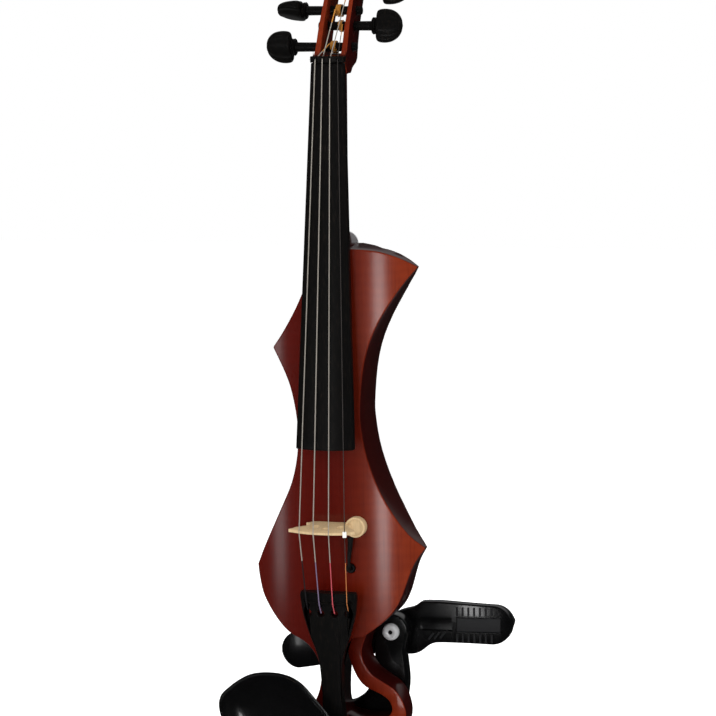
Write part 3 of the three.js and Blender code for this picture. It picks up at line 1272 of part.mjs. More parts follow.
// The whole violin moves forward so that the end button's axis is the Z axis
const placed = new THREE.Group();
violin.position.y = -buttonDepth;
placed.add(violin);

export default placed;
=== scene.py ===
"""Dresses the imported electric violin: varnish, ebony, strings, fittings, stage and camera."""

import json
import math

import bmesh
import bpy
from bpy.props import FloatProperty, FloatVectorProperty, IntProperty, PointerProperty
from mathutils import Matrix, Vector


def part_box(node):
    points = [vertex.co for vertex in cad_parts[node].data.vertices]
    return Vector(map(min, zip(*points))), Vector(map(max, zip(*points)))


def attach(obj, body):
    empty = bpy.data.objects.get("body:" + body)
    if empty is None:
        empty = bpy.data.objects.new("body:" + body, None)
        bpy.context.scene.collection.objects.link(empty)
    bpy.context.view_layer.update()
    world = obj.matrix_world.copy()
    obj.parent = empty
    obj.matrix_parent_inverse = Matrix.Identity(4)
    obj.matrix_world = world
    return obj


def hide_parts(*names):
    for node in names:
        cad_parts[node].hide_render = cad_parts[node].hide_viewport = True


bl_info = {
    "name": "Electric Violin",
    "version": (1, 2, 0),
    "blender": (4, 5, 0),
    "location": "View3D > Sidebar > Violin",
    "description": "Makes the visible pieces of an electric violin round its packed frame",
    "category": "Object",
}

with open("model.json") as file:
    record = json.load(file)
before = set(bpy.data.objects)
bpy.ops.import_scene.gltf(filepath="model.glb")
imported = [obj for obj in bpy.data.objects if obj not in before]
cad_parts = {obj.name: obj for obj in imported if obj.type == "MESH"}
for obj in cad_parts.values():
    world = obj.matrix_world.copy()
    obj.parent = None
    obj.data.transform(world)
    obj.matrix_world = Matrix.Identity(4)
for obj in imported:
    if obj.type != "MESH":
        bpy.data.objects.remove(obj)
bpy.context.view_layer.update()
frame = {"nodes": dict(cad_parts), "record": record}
NODES = frame["nodes"]
BODY_OF = {node: body for body, members in frame["record"]["behaviour"]["bodies"].items() for node in members}
SLOT_OF = {part["node"]: part["material_slot"] for part in frame["record"]["subparts"]}
MM = 0.001


# Settings

def length(name, description, default, **limits):
    return FloatProperty(
        name=name, description=description, default=default, subtype="DISTANCE", unit="LENGTH", **limits)


def colour(name, description, default):
    return FloatVectorProperty(
        name=name, description=description, default=default, size=3, subtype="COLOR", min=0, max=1)


def tilt(name, description, degrees):
    return FloatProperty(
        name=name, description=description, default=math.radians(degrees), subtype="ANGLE", unit="ROTATION")


class WoodSettings(bpy.types.PropertyGroup):
    """Colours and rounding of the varnished wood"""

    centre_red: colour("Centre red", "Stain along the middle of the front", (0.085, 0.0035, 0.0012))
    edge_orange: colour("Edge orange", "Stain towards the treble edge of the front", (0.2, 0.024, 0.006))
    # Painted shade: the sides and the back take this darker colour because they turn away from the front lamps
    side_maroon: colour("Side maroon", "Stain of the sides and the back", (0.027, 0.0016, 0.0012))
    edge_round: length("Edge rounding", "Radius worked on the edges of the body", 0.0009, min=0)
    coat_roughness: FloatProperty(
        name="Coat roughness", description="Roughness of the clear varnish", default=0.12, min=0, max=1)


class FittingSettings(bpy.types.PropertyGroup):
    """Colours of the fittings"""

    ebony: colour("Ebony", "Fingerboard, pegs and tailpiece", (0.0034, 0.0032, 0.0031))
    maple: colour("Maple", "Bare wood of the bridge", (0.66, 0.48, 0.27))
    plastic: colour("Plastic", "Black mouldings", (0.002, 0.002, 0.0022))
    metal: colour("Metal", "Bright metal fittings", (0.8, 0.8, 0.81))


class StringSettings(bpy.types.PropertyGroup):
    """Colours of the strings and of the silk at their ends"""

    wound_tone: colour("Wound string", "Metal of the G, D and A strings", (0.42, 0.385, 0.335))
    plain_tone: colour("Plain string", "Metal of the E string", (0.1, 0.09, 0.085))
    peg_silk: colour("Peg silk", "Thread wrapped round the peg ends", (0.62, 0.27, 0.05))
    g_silk: colour("G silk", "Thread at the tail end of the G string", (0.012, 0.01, 0.012))
    d_silk: colour("D silk", "Thread at the tail end of the D string", (0.16, 0.12, 0.2))
    a_silk: colour("A silk", "Thread at the tail end of the A string", (0.5, 0.07, 0.09))
    e_silk: colour("E silk", "Thread at the tail end of the E string", (0.5, 0.17, 0.05))
    winding_turns: IntProperty(
        name="Winding turns", description="Turns of a string round its peg", default=4, min=1, max=8)


class BoardSettings(bpy.types.PropertyGroup):
    """Sizes of the fingerboard"""

    nut_width: length("Nut width", "Width at the nut", 0.024, min=0.001)
    end_width: length("End width", "Width at the free end", 0.0424, min=0.001)
    crown_radius: length("Crown radius", "Radius that the playing face is worked to", 0.042, min=0.03)
    edge_thickness: length("Edge thickness", "Thickness along both sides", 0.005, min=0.001)


class RestSettings(bpy.types.PropertyGroup):
    """Sizes of the shoulder rest"""

    rib_count: IntProperty(name="Ribs", description="Ribs along each side of the slide", default=7, min=2, max=20)
    rib_width: length("Rib width", "Width of one rib", 0.0014, min=0.0002)
    pad_crown: length("Pad crown", "How far the foam bulges", 0.0022, min=0)


class StageSettings(bpy.types.PropertyGroup):
    """Camera and floor"""

    lens: FloatProperty(
        name="Lens", description="Focal length of the camera", default=157.84, min=1, subtype="DISTANCE_CAMERA")
    camera_place: FloatVectorProperty(
        name="Camera place", description="Where the camera stands", default=(0.6493, -2.1194, 0.608),
        subtype="TRANSLATION", unit="LENGTH")
    yaw: tilt("Yaw", "Turn of the camera about the vertical", 16.705)
    pitch: tilt("Pitch", "How far the camera looks down", 8.293)
    roll: tilt("Roll", "Turn of the camera about its own view", -1.024)
    floor_drop: length("Floor drop", "Height of the violin's lower end over the floor", 0.32, min=0)
    floor_size: length("Floor size", "Side of the square floor", 12.0, min=0.1)


# Node trees

def feed(tree, value, socket):
    """Joins a socket to another one, or sets it to a plain value"""
    if isinstance(value, bpy.types.NodeSocket):
        tree.links.new(value, socket)
    elif socket.type == "RGBA":
        socket.default_value = (*value, 1)
    else:
        socket.default_value = value


def add(tree, kind, sockets=None, **settings):
    """A node with its settings made, and its input sockets joined or set"""
    item = tree.nodes.new(kind)
    for key, value in settings.items():
        setattr(item, key, value)
    for key, value in (sockets or {}).items():
        feed(tree, value, item.inputs[key])
    return item


def titled(values):
    return {key.replace("_", " ").title(): value for key, value in values.items()}


def axes_of(tree, place):
    return add(tree, "ShaderNodeSeparateXYZ", {0: place}).outputs


def calc(tree, operation, *values):
    """One step of arithmetic on sockets or numbers"""
    return add(tree, "ShaderNodeMath", dict(enumerate(values)), operation=operation).outputs[0]


def between(tree, share, first, last):
    return calc(tree, "MULTIPLY_ADD", share, calc(tree, "SUBTRACT", last, first), first)


def ranged(tree, value, low, high, first=0.0, last=1.0, smooth=False):
    """A value taken from one range to another"""
    sockets = {"Value": value, "From Min": low, "From Max": high, "To Min": first, "To Max": last}
    kind = "SMOOTHSTEP" if smooth else "LINEAR"
    return add(tree, "ShaderNodeMapRange", sockets, interpolation_type=kind).outputs["Result"]


def mixed(tree, factor, first, second):
    """Two colours mixed by a mask"""
    return add(tree, "ShaderNodeMix", {"Factor": factor, 6: first, 7: second}, data_type="RGBA").outputs[2]


def bumped(tree, height, strength, depth):
    return add(tree, "ShaderNodeBump", {"Height": height, "Strength": strength, "Distance": depth}).outputs["Normal"]


def banded(tree, place, axis, **values):
    """Even bands across one axis"""
    sockets = {"Vector": place, **titled(values)}
    return add(tree, "ShaderNodeTexWave", sockets, wave_type="BANDS", bands_direction=axis).outputs["Fac"]


def noisy(tree, place, **values):
    return add(tree, "ShaderNodeTexNoise", {"Vector": place, **titled(values)}).outputs["Fac"]


def group_tree(name, inputs, outputs, kind="NodeSocketFloat"):
    """A shader group with a place and numbers for inputs, and the sockets it starts from"""
    tree = bpy.data.node_groups.new(name, "ShaderNodeTree")
    tree.interface.new_socket(name="Vector", in_out="INPUT", socket_type="NodeSocketVector")
    for label, default in inputs.items():
        tree.interface.new_socket(name=label, in_out="INPUT", socket_type="NodeSocketFloat").default_value = default
    for label in outputs:
        tree.interface.new_socket(name=label, in_out="OUTPUT", socket_type=kind)
    return tree, add(tree, "NodeGroupInput").outputs


def wood_group():
    """Grain lines along Z, curly figure across them, and slow clouds"""
    tree, start = group_tree("Wood Grain", {"Grain Scale": 900.0, "Figure Scale": 90.0}, ("Grain", "Figure", "Cloud"))
    place = start["Vector"]
    drawn_out = add(tree, "ShaderNodeVectorMath", {0: place, 1: (1, 1, 0.035)}, operation="MULTIPLY").outputs[0]
    add(tree, "NodeGroupOutput", {
        "Grain": noisy(tree, drawn_out, scale=start["Grain Scale"], detail=6, roughness=0.6),
        "Figure": banded(tree, place, "Z", scale=start["Figure Scale"], distortion=9, detail=3, detail_scale=0.6),
        "Cloud": noisy(tree, place, scale=24, detail=4),
    })
    return tree


def marks_group():
    """Soft smudges of handling, as a mask for roughness"""
    tree, start = group_tree("Handling Marks", {"Scale": 30.0, "Low": 0.2, "High": 0.35}, ("Roughness",))
    smudge = noisy(tree, start["Vector"], scale=start["Scale"], detail=5, distortion=0.6)
    add(tree, "NodeGroupOutput", {"Roughness": ranged(tree, smudge, 0.3, 0.72, start["Low"], start["High"])})
    return tree


def relief_group():
    """A fine all-over relief as a normal"""
    values = {"Scale": 1500.0, "Strength": 0.1, "Depth": 0.0001}
    tree, start = group_tree("Fine Relief", values, ("Normal",), "NodeSocketVector")
    height = noisy(tree, start["Vector"], scale=start["Scale"], detail=3)
    add(tree, "NodeGroupOutput", {"Normal": bumped(tree, height, start["Strength"], start["Depth"])})
    return tree


GROUPS = {}


def group(tree, kind, vector, **values):
    """The outputs of one of the shared groups, placed in a material with its own values"""
    if kind not in GROUPS:
        GROUPS[kind] = {"wood": wood_group, "marks": marks_group, "relief": relief_group}[kind]()
    return add(tree, "ShaderNodeGroup", {"Vector": vector, **titled(values)}, node_tree=GROUPS[kind]).outputs


def plain(name, base, roughness, metallic=0.0, **inputs):
    """A material with its surface shader set, and its object coordinates"""
    material = bpy.data.materials.new(name)
    material.use_nodes = True
    material.diffuse_color = (*base, 1)
    tree = material.node_tree
    shader = tree.nodes["Principled BSDF"]
    values = {"Base_Color": base, "Roughness": roughness, "Metallic": metallic, **inputs}
    for key, value in values.items():
        feed(tree, value, shader.inputs[key.replace("_", " ")])
    return material, tree, shader, add(tree, "ShaderNodeTexCoord").outputs["Object"]


def worn(tree, shader, place, marks, relief):
    """Smudges the surface's roughness, roughens it with a fine relief, and returns the smudges"""
    marks = dict(zip(("scale", "low", "high"), marks))
    relief = dict(zip(("scale", "strength", "depth"), relief))
    smudges = group(tree, "marks", place, **marks)["Roughness"]
    feed(tree, smudges, shader.inputs["Roughness"])
    feed(tree, group(tree, "relief", place, **relief)["Normal"], shader.inputs["Normal"])
    return smudges


def darker(rgb, share):
    return tuple(channel * share for channel in rgb)


# Finishes

def varnished(settings, name, coat=0.6, rough=(0.3, 0.44), turning=(-0.004, 0.05)):
    """Stained wood under clear varnish, with painted light and shade: bright where it faces the front, painted dark as
    shade on the sides and the back.

    On the front the stain turns from red to orange between the two places across the violin.
    """
    material, tree, shader, place = plain(
        name, settings.side_maroon, 0.4, Coat_Weight=coat, Coat_Roughness=settings.coat_roughness, Coat_IOR=1.5,
        Specular_IOR_Level=0.06)
    worn(tree, shader, place, (22.0, *rough), (240.0, 0.035, 0.0002))
    red = settings.centre_red
    wood = group(tree, "wood", place, grain_scale=700.0, figure_scale=42.0)
    stain = mixed(tree, ranged(tree, axes_of(tree, place)["X"], *turning, smooth=True), red, settings.edge_orange)
    stain = mixed(tree, ranged(tree, wood["Cloud"], 0.35, 0.7, 0.0, 0.5), stain, darker(red, 0.75))
    # Painted light and shade: corners that face the front take the lit stain, the rest take the dark side colour
    front = add(tree, "ShaderNodeAttribute", attribute_name="front").outputs["Fac"]
    stain = mixed(tree, front, settings.side_maroon, stain)
    stain = mixed(tree, ranged(tree, wood["Figure"], 0, 1, 0.0, 0.1), stain, darker(red, 0.5))
    stain = mixed(tree, ranged(tree, wood["Grain"], 0.5, 0.75, 0, 0.35), stain, darker(red, 0.3))
    feed(tree, stain, shader.inputs["Base Color"])
    return material


def ebony(settings):
    """Black wood with faint brown streaks"""
    material, tree, shader, place = plain("Ebony", settings.ebony, 0.36, Specular_IOR_Level=0.2)
    worn(tree, shader, place, (40.0, 0.3, 0.42), (1400.0, 0.1, 0.0001))
    grain = group(tree, "wood", place, grain_scale=1300.0, figure_scale=20.0)["Grain"]
    streaks = mixed(tree, ranged(tree, grain, 0.55, 0.8), settings.ebony, (0.016, 0.011, 0.008))
    feed(tree, streaks, shader.inputs["Base Color"])
    return material


def bare_maple(settings):
    """Pale bare wood with flecks"""
    material, tree, shader, place = plain("Bare Maple", settings.maple, 0.55, Specular_IOR_Level=0.3)
    worn(tree, shader, place, (120.0, 0.48, 0.64), (2200.0, 0.15, 0.0001))
    wood = group(tree, "wood", place, grain_scale=1600.0, figure_scale=300.0)
    flecks = mixed(tree, ranged(tree, wood["Grain"], 0.52, 0.7), settings.maple, darker(settings.maple, 0.62))
    tone = mixed(tree, ranged(tree, wood["Cloud"], 0.3, 0.7, 0, 0.4), flecks, darker(settings.maple, 0.8))
    feed(tree, tone, shader.inputs["Base Color"])
    return material


def bright_metal(name, base, low, high):
    """Bright metal, duller where it has been handled"""
    material, tree, shader, place = plain(name, base, low, 0.4)
    smudges = worn(tree, shader, place, (120.0, low, high), (2600.0, 0.06, 0.00005))
    feed(tree, mixed(tree, ranged(tree, smudges, low, high), base, darker(base, 0.82)), shader.inputs["Base Color"])
    return material


def moulded(name, base, low, high, scale=1800.0, strength=0.12, specular=0.3, polish=0.0):
    """Moulded plastic or rubber"""
    material, tree, shader, place = plain(
        name, base, low, Specular_IOR_Level=specular, Coat_Weight=polish, Coat_Roughness=0.08)
    smudges = worn(tree, shader, place, (60.0, low, high), (scale, strength, 0.0001))
    dust = mixed(tree, ranged(tree, smudges, low, high, 0, 0.5), base, darker(base, 1.5))
    feed(tree, dust, shader.inputs["Base Color"])
    return material


def foam():
    """Foam with open cells"""
    material, tree, shader, place = plain("Foam", (0.012, 0.012, 0.0125), 0.95, Specular_IOR_Level=0.15)
    cells = add(tree, "ShaderNodeTexVoronoi", {"Vector": place, "Scale": 900}, feature="DISTANCE_TO_EDGE").outputs[0]
    # Painted shade: the open cells' hollows are darker than their walls
    tone = mixed(tree, ranged(tree, cells, 0, 0.3), (0.018, 0.018, 0.019), (0.006, 0.006, 0.0065))
    feed(tree, tone, shader.inputs["Base Color"])
    feed(tree, bumped(tree, cells, 0.5, 0.0003), shader.inputs["Normal"])
    return material


# Where the thread starts at both ends of the strings
TAIL_SILK = 0.147
PEG_SILK = {"g": 0.5035, "d": 0.523, "a": 0.536, "e": 0.514}


def string_finish(name, metal, tail_silk, peg_silk, turns, metallic):
    """A string: metal along its speaking length, thread wrapped at both ends"""
    material, tree, shader, place = plain(f"String {name.upper()}", metal, 0.4, metallic)
    height = axes_of(tree, place)["Z"]
    low = ranged(tree, height, TAIL_SILK - 0.0002, TAIL_SILK + 0.0002, 1, 0)
    high = ranged(tree, height, PEG_SILK[name], PEG_SILK[name] + 0.0006)
    silk = calc(tree, "MAXIMUM", low, high)
    tone = mixed(tree, high, mixed(tree, low, metal, tail_silk), peg_silk)
    feed(tree, tone, shader.inputs["Base Color"])
    feed(tree, ranged(tree, silk, 0, 1, metallic, 0), shader.inputs["Metallic"])
    feed(tree, ranged(tree, silk, 0, 1, 0.36, 0.85), shader.inputs["Roughness"])
    wraps = banded(tree, place, "Z", scale=turns, distortion=0)
    feed(tree, bumped(tree, wraps, 0.35, 0.0001), shader.inputs["Normal"])
    return material


def thread(name, base):
    """Thread wrapping, with painted shade in the grooves between its turns"""
    material, tree, shader, place = plain(name, base, 0.8, Specular_IOR_Level=0.2)
    wraps = banded(tree, place, "X", scale=900, distortion=2.5)
    # Painted shade: the bands between the turns are darkened as the grooves' shade
    feed(tree, mixed(tree, wraps, darker(base, 0.55), base), shader.inputs["Base Color"])
    feed(tree, bumped(tree, wraps, 0.4, 0.0001), shader.inputs["Normal"])
    return material


def laminate():
    """Green laminate with paler tracks"""
    material, tree, shader, place = plain("Circuit Laminate", (0.01, 0.09, 0.035), 0.35)
    upright = add(tree, "ShaderNodeMapping", {"Vector": place, "Rotation": (math.pi / 2, 0, 0)}).outputs["Vector"]
    tracks = add(tree, "ShaderNodeTexBrick", {
        "Vector": upright, "Scale": 160, "Mortar Size": 0.06, "Color1": (0.008, 0.075, 0.03),
        "Color2": (0.01, 0.09, 0.04), "Mortar": (0.02, 0.16, 0.07)})
    feed(tree, tracks.outputs["Color"], shader.inputs["Base Color"])
    return material


FINISHES = {}


def make_finishes(scene):
    """Every finish of the violin, by the record's slot, and the strings' own"""
    wood, fit, strung = scene.violin_wood, scene.violin_fittings, scene.violin_strings
    FINISHES.update({
        "top_wood": varnished(wood, "Red Varnish"),
        "side_wood": varnished(wood, "Maroon Varnish"),
        "neck_wood": varnished(wood, "Neck Varnish", 0.3, (0.36, 0.5), (-0.06, -0.02)),
        "ebony": ebony(fit),
        "bridge_maple": bare_maple(fit),
        "silk_g": thread("Peg Silk", strung.peg_silk),
        "steel": bright_metal("Bright Steel", fit.metal, 0.26, 0.42),
        "jack_metal": bright_metal("Plated Brass", (0.78, 0.78, 0.78), 0.2, 0.34),
        "black_gloss": moulded("Gloss Black", fit.plastic, 0.16, 0.28, 900.0, 0.03, polish=0.5),
        "black_satin": moulded("Satin Black", (0.005, 0.005, 0.0055), 0.38, 0.5, specular=0.22),
        "slide_grey": moulded("Grey Slide", (0.013, 0.013, 0.014), 0.4, 0.55),
        "foam": foam(),
        "lead": moulded("Lead Jacket", (0.006, 0.006, 0.006), 0.4, 0.55),
        "gut": moulded("Tailgut", (0.012, 0.012, 0.013), 0.3, 0.42),
        "sleeve": moulded("White Tube", (0.82, 0.81, 0.77), 0.4, 0.5),
        "circuit": laminate(),
        "cell": moulded("Cell Wrap", (0.03, 0.03, 0.035), 0.25, 0.4),
    })
    for name in STRINGS:
        tone, turns, metallic = (strung.plain_tone, 2600.0, 0.6) if name == "e" else (strung.wound_tone, 1400.0, 0.35)
        tail = getattr(strung, f"{name}_silk")
        FINISHES[f"string_{name}"] = string_finish(name, tone, tail, strung.peg_silk, turns, metallic)


def finish_of(slot):
    if not FINISHES:
        make_finishes(bpy.context.scene)
    return FINISHES[slot]


# Shaping tools

def settle(piece, *nodes, slot=None):
    """Gives a finished piece the material of its slot and its body, and lets it stand for its CAD nodes"""
    slot = slot or SLOT_OF[nodes[0]]
    if not piece.data.materials:
        piece.data.materials.append(finish_of(slot))
    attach(piece, BODY_OF[nodes[0]])
    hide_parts(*nodes)
    return piece


def sharpen(bm, degrees):
    """Smooth faces with sharp edges where the surface turns further than the angle"""
    limit = math.radians(degrees)
    for face in bm.faces:
        face.smooth = True
    for edge in bm.edges:
        edge.smooth = edge.calc_face_angle(math.pi) < limit


def object_from(bm, name):
    mesh = bpy.data.meshes.new(name)
    bm.to_mesh(mesh)
    bm.free()
    piece = bpy.data.objects.new(name, mesh)
    bpy.context.scene.collection.objects.link(piece)
    return piece


def closed_object(bm, name, degrees=35):
    """A closed form as an object, with its faces outwards"""
    bmesh.ops.remove_doubles(bm, verts=bm.verts, dist=0.000002)
    bmesh.ops.recalc_face_normals(bm, faces=bm.faces)
    sharpen(bm, degrees)
    return object_from(bm, name)


def drop_mesh(mesh):
    if not mesh.users:
        bpy.data.meshes.remove(mesh)


def bake(piece):
    """Turns a piece's modifiers into its mesh"""
    bpy.context.view_layer.update()
    held = bpy.context.evaluated_depsgraph_get()
    made = bpy.data.meshes.new_from_object(piece.evaluated_get(held), depsgraph=held)
    old = piece.data
    piece.modifiers.clear()
    piece.data = made
    made.name = piece.name
    drop_mesh(old)
    return piece


def modify(piece, kind, **settings):
    """The piece with one modifier worked into its mesh"""
    modifier = piece.modifiers.new(kind.title(), kind)
    for key, value in settings.items():
        setattr(modifier, key, value)
    return bake(piece)


def bevelled(piece, width, segments=2, limit=35):
    return modify(
        piece, "BEVEL", width=width, segments=segments, limit_method="ANGLE", angle_limit=math.radians(limit),
        use_clamp_overlap=False, miter_outer="MITER_ARC")


def carved(piece, *cutters, self_crossing=False):
    """The piece with the cutters' space taken away"""
    for cutter in cutters:
        modify(piece, "BOOLEAN", operation="DIFFERENCE", solver="EXACT", use_self=self_crossing, object=cutter)
    for cutter in cutters:
        mesh = cutter.data
        bpy.data.objects.remove(cutter)
        drop_mesh(mesh)
    return piece


def resmoothed(piece, degrees):
    bm = bmesh.new()
    bm.from_mesh(piece.data)
    sharpen(bm, degrees)
    bm.to_mesh(piece.data)
    bm.free()
    return piece


def cad_form(node):
    """A merged copy of a CAD node's mesh"""
    bm = bmesh.new()
    bm.from_mesh(NODES[node].data)
    bmesh.ops.remove_doubles(bm, verts=bm.verts, dist=0.00001)
    return bm


def flattened(bm, **keys):
    """Merges the faces that lie in one plane"""
    bmesh.ops.dissolve_limit(bm, angle_limit=math.radians(0.5), verts=bm.verts, edges=bm.edges, **keys)


def refined(node, edge, segments=2, degrees=30, limit=35):
    """A smooth copy of a CAD node with its edges rounded over"""
    bm = cad_form(node)
    flattened(bm)
    sharpen(bm, degrees)
    return settle(bevelled(object_from(bm, f"{node}_look"), edge, segments, limit), node)


def rounded_copy(node, width, segments=3, degrees=30, spare=None, cuts=()):
    """A smooth copy of a CAD node, its edges rounded over except where spare says so.

    The cuts part flat faces at heights through their openings, so that no face runs right round one.
    """
    bm = cad_form(node)
    for level in cuts:
        parted = bmesh.ops.bisect_plane(
            bm, geom=[*bm.verts, *bm.edges, *bm.faces], plane_co=(0, 0, level), plane_no=(0, 0, 1), dist=0.00001)
        for item in parted["geom_cut"]:
            if isinstance(item, bmesh.types.BMEdge):
                item.seam = True
    flattened(bm, delimit={"SEAM"})
    edges = [edge for edge in bm.edges if edge.calc_face_angle(0) > math.radians(38)
             and not (spare and spare(*(vert.co for vert in edge.verts)))]
    bmesh.ops.bevel(
        bm, geom=edges, offset=width, offset_type="OFFSET", segments=segments, profile=0.5, affect="EDGES",
        clamp_overlap=False, miter_outer="ARC")
    bmesh.ops.remove_doubles(bm, verts=bm.verts, dist=0.00001)
    sharpen(bm, degrees)
    return object_from(bm, f"{node}_look")


def through(points, steps):
    """A smooth run of points through the given ones"""
    rows = [Vector(p) for p in points]
    run = []
    for i in range(len(rows) - 1):
        before, here, there, after = rows[max(i - 1, 0)], rows[i], rows[i + 1], rows[min(i + 2, len(rows) - 1)]
        for k in range(steps):
            t = k / steps
            run.append(0.5 * (2 * here + (there - before) * t + (2 * before - 5 * here + 4 * there - after) * t ** 2
                              + (3 * here - before - 3 * there + after) * t ** 3))
    return run + [rows[-1]]


def round_through(points, steps):
    """A smooth closed loop through the given points"""
    run = through([points[-1], *points, points[0], points[1]], steps)
    return run[steps:steps * (len(points) + 1)]


def evened(loop, count):
    """The same closed loop, at even spacing"""
    ends = [*loop, loop[0]]
    marks = [0.0]
    for one, two in zip(ends, ends[1:]):
        marks.append(marks[-1] + (two - one).length)
    result, at = [], 0
    for i in range(count):
        goal = marks[-1] * i / count
        while marks[at + 1] < goal:
            at += 1
        result.append(ends[at].lerp(ends[at + 1], (goal - marks[at]) / max(marks[at + 1] - marks[at], 1e-12)))
    return result


def bent(points, reach, steps=5):
    """A run of straight stretches with each corner eased over a short reach"""
    rows = [Vector(p) for p in points]
    run = [rows[0]]
    for before, here, after in zip(rows, rows[1:], rows[2:]):
        start = here + (before - here).normalized() * reach
        stop = here + (after - here).normalized() * reach
        for i in range(steps + 1):
            t = i / steps
            run.append(start * (1 - t) ** 2 + here * 2 * t * (1 - t) + stop * t ** 2)
    return run + [rows[-1]]


def skin(bm, rings):
    """A surface over rings of points, closed at both ends"""
    rows = [[bm.verts.new(p) for p in ring] for ring in rings]
    size = len(rows[0])
    for low, high in zip(rows, rows[1:]):
        for i in range(size):
            j = (i + 1) % size
            bm.faces.new((low[i], low[j], high[j], high[i]))
    bm.faces.new(list(reversed(rows[0])))
    bm.faces.new(rows[-1])


# Side, up and ahead for each axis that a form is turned about
TURNING = {
    "X": (Vector((0, 1, 0)), Vector((0, 0, 1)), Vector((1, 0, 0))),
    "Y": (Vector((0, 0, 1)), Vector((1, 0, 0)), Vector((0, 1, 0))),
    "Z": (Vector((1, 0, 0)), Vector((0, 1, 0)), Vector((0, 0, 1))),
}


def turned(bm, profile, place=(0, 0, 0), axis="Z", sides=48):
    """A lathe-turned form from a profile of radius and reach, in millimetres"""
    side, up, ahead = TURNING[axis]
    rows = []
    for radius, reach in profile:
        radius, hub = radius * MM, Vector(place) + ahead * (reach * MM)
        if radius < 1e-7:
            rows.append([bm.verts.new(hub)])
            continue
        angles = [2 * math.pi * i / sides for i in range(sides)]
        rows.append([bm.verts.new(hub + side * (radius * math.cos(a)) + up * (radius * math.sin(a))) for a in angles])
    for low, high in zip(rows, rows[1:]):
        for i in range(sides):
            j = (i + 1) % sides
            corners = [low[i % len(low)], low[j % len(low)], high[j % len(high)], high[i % len(high)]]
            corners = list(dict.fromkeys(corners))
            if len(corners) > 2:
                bm.faces.new(corners)


def lathe(name, profile, place=(0, 0, 0), axis="Y", sides=48, degrees=30):
    """A turned form as an object of its own"""
    bm = bmesh.new()
    turned(bm, profile, place, axis, sides)
    return closed_object(bm, name, degrees)


def rod(radius, place, start, stop, axis="Y", sides=40):
    """A plain rod that cuts a bore"""
    return lathe("cutter", ((0, start), (radius, start), (radius, stop), (0, stop)), place, axis, sides, 35)


def mm(*values):
    return tuple(value * MM for value in values)


def block(name, low, high):
    """A plain block between two corners, for a form that is rounded or cut afterwards"""
    bm = bmesh.new()
    size = [b - a for a, b in zip(low, high)]
    for vert in bmesh.ops.create_cube(bm, size=1)["verts"]:
        vert.co = Vector(low) + Vector([(c + 0.5) * s for c, s in zip(vert.co, size)])
    return closed_object(bm, name)


def seat_of(node, rear=False):
    """The middle of the face that a CAD node turns to the front, or to the rear"""
    low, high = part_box(node)
    return (low[0] + high[0]) / 2, (high if rear else low)[1], (low[2] + high[2]) / 2


# Geometry Nodes

def geometry_tree(name, inputs):
    """A geometry tree with named inputs and a finish, and the sockets it starts from"""
    tree = bpy.data.node_groups.new(name, "GeometryNodeTree")
    kinds = {int: "NodeSocketInt", float: "NodeSocketFloat"}
    tree.interface.new_socket(name="Geometry", in_out="INPUT", socket_type="NodeSocketGeometry")
    for label, default in inputs.items():
        kind = kinds.get(type(default), "NodeSocketObject")
        socket = tree.interface.new_socket(name=label, in_out="INPUT", socket_type=kind)
        if default is not None:
            socket.default_value = default
    tree.interface.new_socket(name="Finish", in_out="INPUT", socket_type="NodeSocketMaterial")
    tree.interface.new_socket(name="Geometry", in_out="OUTPUT", socket_type="NodeSocketGeometry")
    return tree, add(tree, "NodeGroupInput").outputs


def finish_tree(tree, start, geometry, smooth=True):
    """Ends a tree: smooth shading, real copies, and the finish"""
    if smooth:
        geometry = add(tree, "GeometryNodeSetShadeSmooth", {"Geometry": geometry}).outputs["Geometry"]
    real = add(tree, "GeometryNodeRealizeInstances", {"Geometry": geometry}).outputs["Geometry"]
    coated = add(tree, "GeometryNodeSetMaterial", {"Geometry": real, "Material": start["Finish"]})
    add(tree, "NodeGroupOutput", {"Geometry": coated.outputs["Geometry"]})
    return tree


def named(tree, name, kind):
    return add(tree, "GeometryNodeInputNamedAttribute", {"Name": name}, data_type=kind).outputs["Attribute"]


def sweep_tree():
    """Sweeps a round section along a path of mesh edges"""
    tree, start = geometry_tree("Swept Path", {"Radius": 0.001, "Sides": 12})
    girth = named(tree, "girth", "FLOAT")
    path = add(tree, "GeometryNodeMeshToCurve", {"Mesh": start["Geometry"]}).outputs["Curve"]
    path = add(tree, "GeometryNodeSetCurveRadius", {"Curve": path, "Radius": girth}).outputs["Curve"]
    sizes = {"Resolution": start["Sides"], "Radius": start["Radius"]}
    section = add(tree, "GeometryNodeCurvePrimitiveCircle", sizes, mode="RADIUS").outputs["Curve"]
    sweep = add(tree, "GeometryNodeCurveToMesh", {"Curve": path, "Profile Curve": section, "Fill Caps": True})
    if "Scale" in sweep.inputs:
        feed(tree, girth, sweep.inputs["Scale"])
    return finish_tree(tree, start, sweep.outputs["Mesh"])


def pattern_tree():
    """Sets copies of one small form on points, each with its own turn"""
    tree, start = geometry_tree("Set Pattern", {"Form": None})
    form = add(tree, "GeometryNodeObjectInfo", {"Object": start["Form"]}, transform_space="ORIGINAL")
    spread = add(tree, "GeometryNodeInstanceOnPoints", {
        "Points": start["Geometry"], "Instance": form.outputs["Geometry"],
        "Rotation": named(tree, "turn", "FLOAT_VECTOR")})
    return finish_tree(tree, start, spread.outputs["Instances"], smooth=False)


